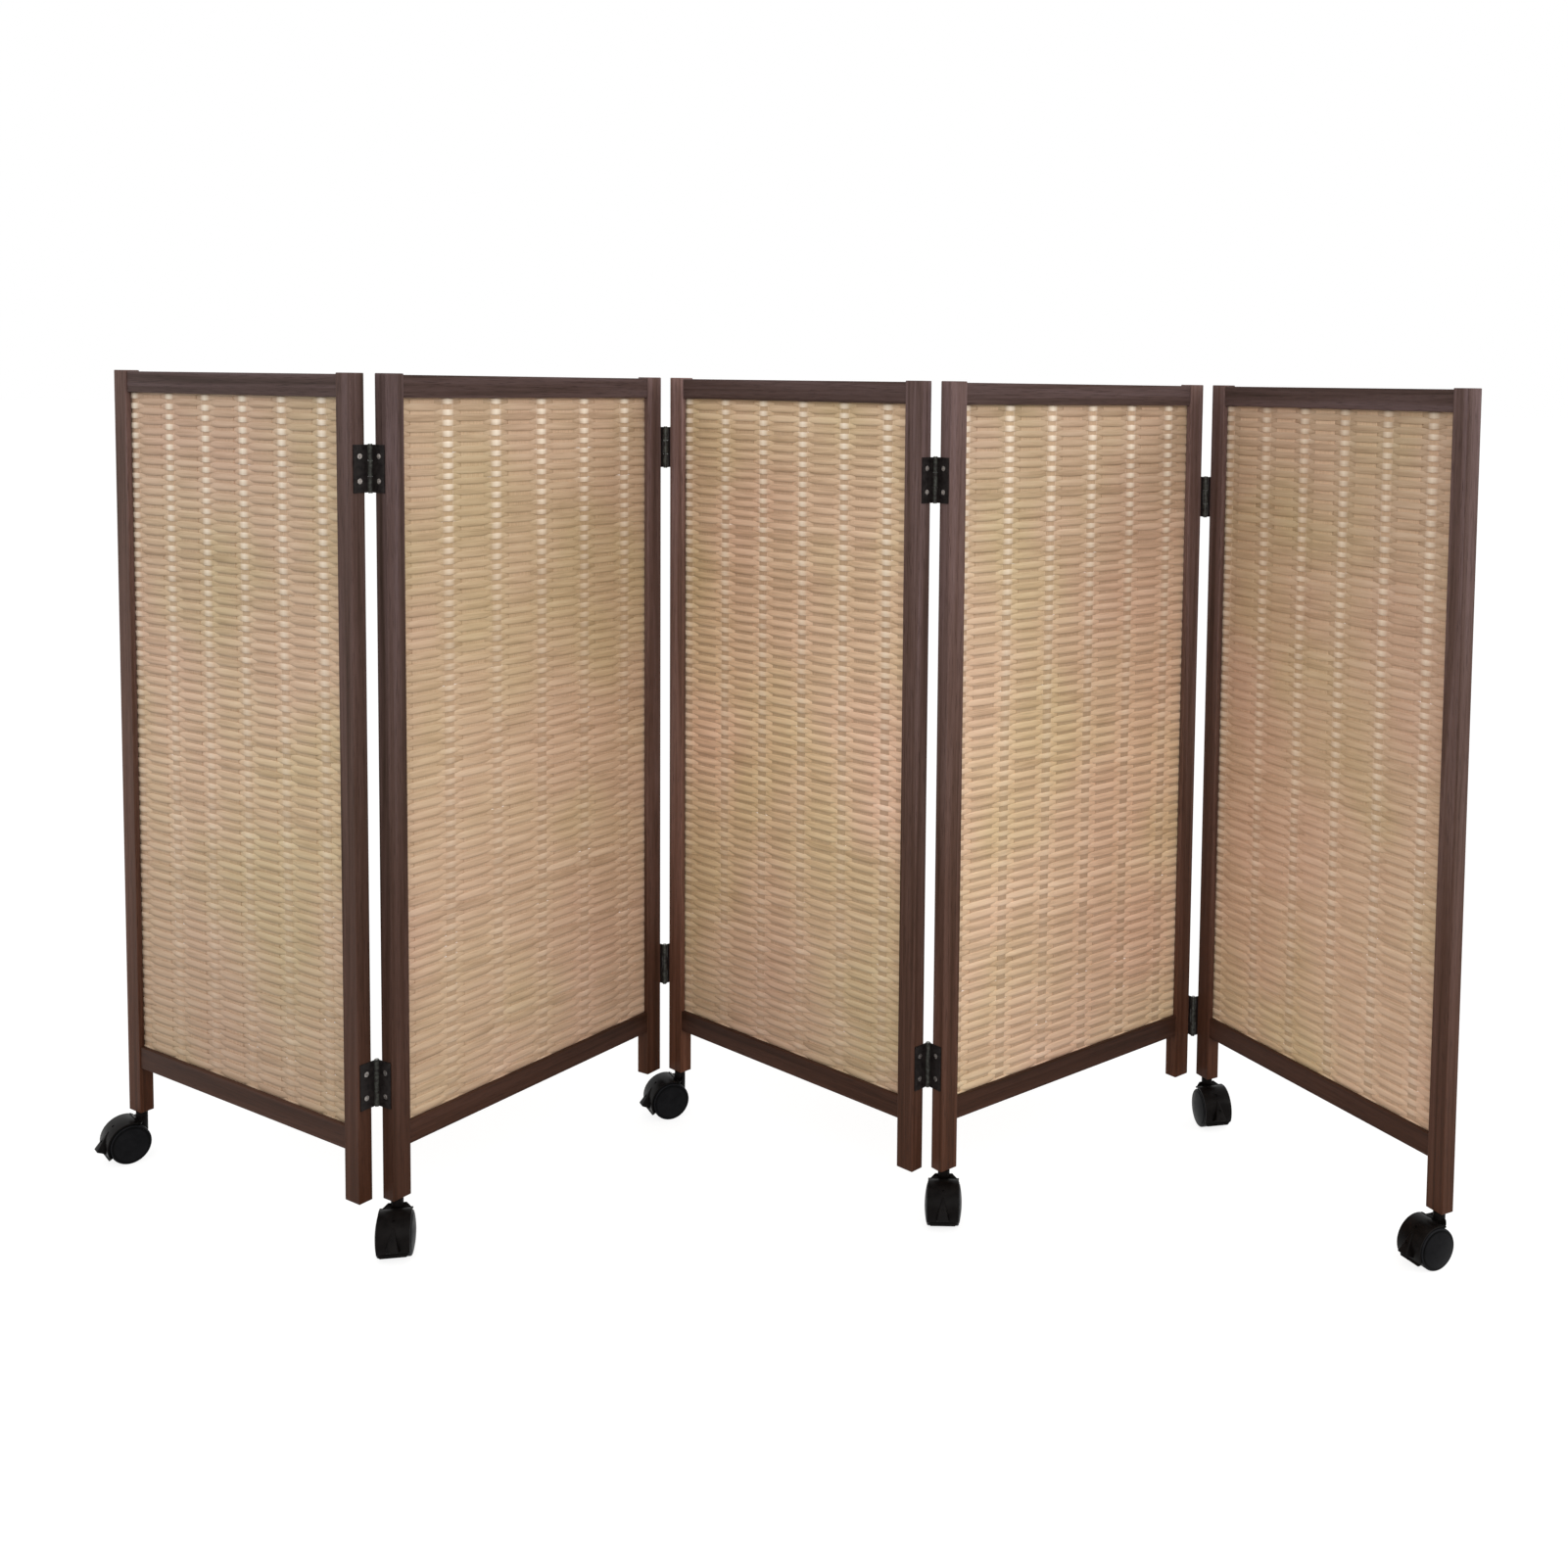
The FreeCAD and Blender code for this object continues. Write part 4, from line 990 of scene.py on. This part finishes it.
# %% One hood
hood = strip("hood", HOOD_INSIDE, HOOD_OUTSIDE, HOOD_WIDTH, HOOD_START, HOOD_END, steps=20)
edit(hood)
for angle, cut in ((HOOD_START, TAIL_CORNER), (HOOD_END, NECK_CORNER)):
    corner = on_hood(angle, (HOOD_INSIDE + HOOD_OUTSIDE) / 2)
    pick(hood, "EDGE", lambda middle: abs(abs(middle.y) - HOOD_WIDTH / 2) < NEAR
         and (middle - corner).xz.length < NEAR)
    bpy.ops.mesh.bevel(offset=cut, segments=5)
close()
ease(hood, width=0.7 * MM, segments=3, sharper_than=50)
print("hood", len(hood.data.polygons), "faces")

# %% Beak
# Corners of the beak from the side, by those of a cube: X, half of the width and Z in millimetres
BEAK = {(0, 0): (40.5, 9, 14.5), (1, 0): (55, 7, 20.5), (0, 1): (34, 0.8, 43),
        (1, 1): (40.5, 1.6, 41.5)}
# How far the beak reaches into the hood
BEAK_ROOT = 0.8 * MM
beak = primitive("beak", bpy.ops.mesh.primitive_cube_add, size=1, location=(0.5, 0, 0.5))
bake_place(beak)
edit(beak)
for (out, up), (x, half, z) in BEAK.items():
    pick(beak, "VERT", lambda point: point.x == out and point.z == up and abs(point.y) == 0.5)
    middle = Vector((out, 0, up))
    bpy.ops.transform.resize(value=(1, 2 * half * MM, 1), center_override=middle)
    bpy.ops.transform.translate(value=Vector((x, 0, z)) * MM - middle)
close()
ease(beak, width=0.9 * MM, segments=3, sharper_than=30)
cut_away(beak, rod("drum", HOOD_OUTSIDE - BEAK_ROOT, HOOD_WIDTH, AXLE, ALONG_AXLE, sides=96))
print("beak", [round(side / MM, 1) for side in beak.dimensions], "mm,", len(beak.data.polygons), "faces")

# %% Dents
DENT_RADIUS = 1.8 * MM
DRILL_LENGTH = 2.4 * MM
HOOD_DENT = math.radians(54)
# The front of the beak leans back by 14.5 over a rise of 21
BEAK_DENT = math.atan2(14.5, 21)
BEAK_FRONT = Vector((47.8, 0, 31)) * MM
for piece, place, angle in ((hood, on_hood(HOOD_DENT, HOOD_OUTSIDE), HOOD_DENT),
                            (beak, BEAK_FRONT, BEAK_DENT)):
    drill = rod("drill", DENT_RADIUS, DRILL_LENGTH, place, (0, QUARTER_TURN - angle, 0), sides=20)
    cut_away(piece, drill)
    print("dent in the", piece.name, "at", round(math.degrees(angle)), "degrees")

# %% Web, hub and neck
web = strip("web", HUB_RADIUS, WEB_OUTSIDE, WEB_THICK, HOOD_START, WEB_END, steps=16)
hub = rod("hub", HUB_RADIUS, 2 * NECK_RADIUS, AXLE, ALONG_AXLE)
neck = rod("neck", NECK_RADIUS, NECK_TOP - NECK_FOOT, (0, 0, (NECK_TOP + NECK_FOOT) / 2))
for piece in (web, hub, neck):
    ease(piece, width=0.6 * MM, segments=2, sharper_than=50)
alone(hood)
for piece in (beak, web, hub, neck):
    piece.select_set(True)
bpy.ops.object.join()
bpy.ops.object.shade_smooth_by_angle(angle=math.radians(35))
print("hood with beak, web, hub and neck", len(hood.data.polygons), "faces")

# %% Put a hood on each caster
for number, (panel, side) in CASTER_LEGS.items():
    leg = middle_of(f"panel_{panel}_{side}_post")
    tail = middle_of(f"caster_{number}_axle") - leg
    turn = math.atan2(tail.y, tail.x)
    piece = copy_of(hood, f"caster_{number}_hood")
    piece.matrix_world = Matrix.Translation((leg.x, leg.y, 0)) @ Matrix.Rotation(turn, 4, "Z")
    bake_place(piece)
    dress(piece, hood_plastic)
    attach(piece, f"caster_{number}_swivel")
    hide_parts(f"caster_{number}_housing")
    print(piece.name, "turned", round(math.degrees(turn)), "degrees")
remove(hood)
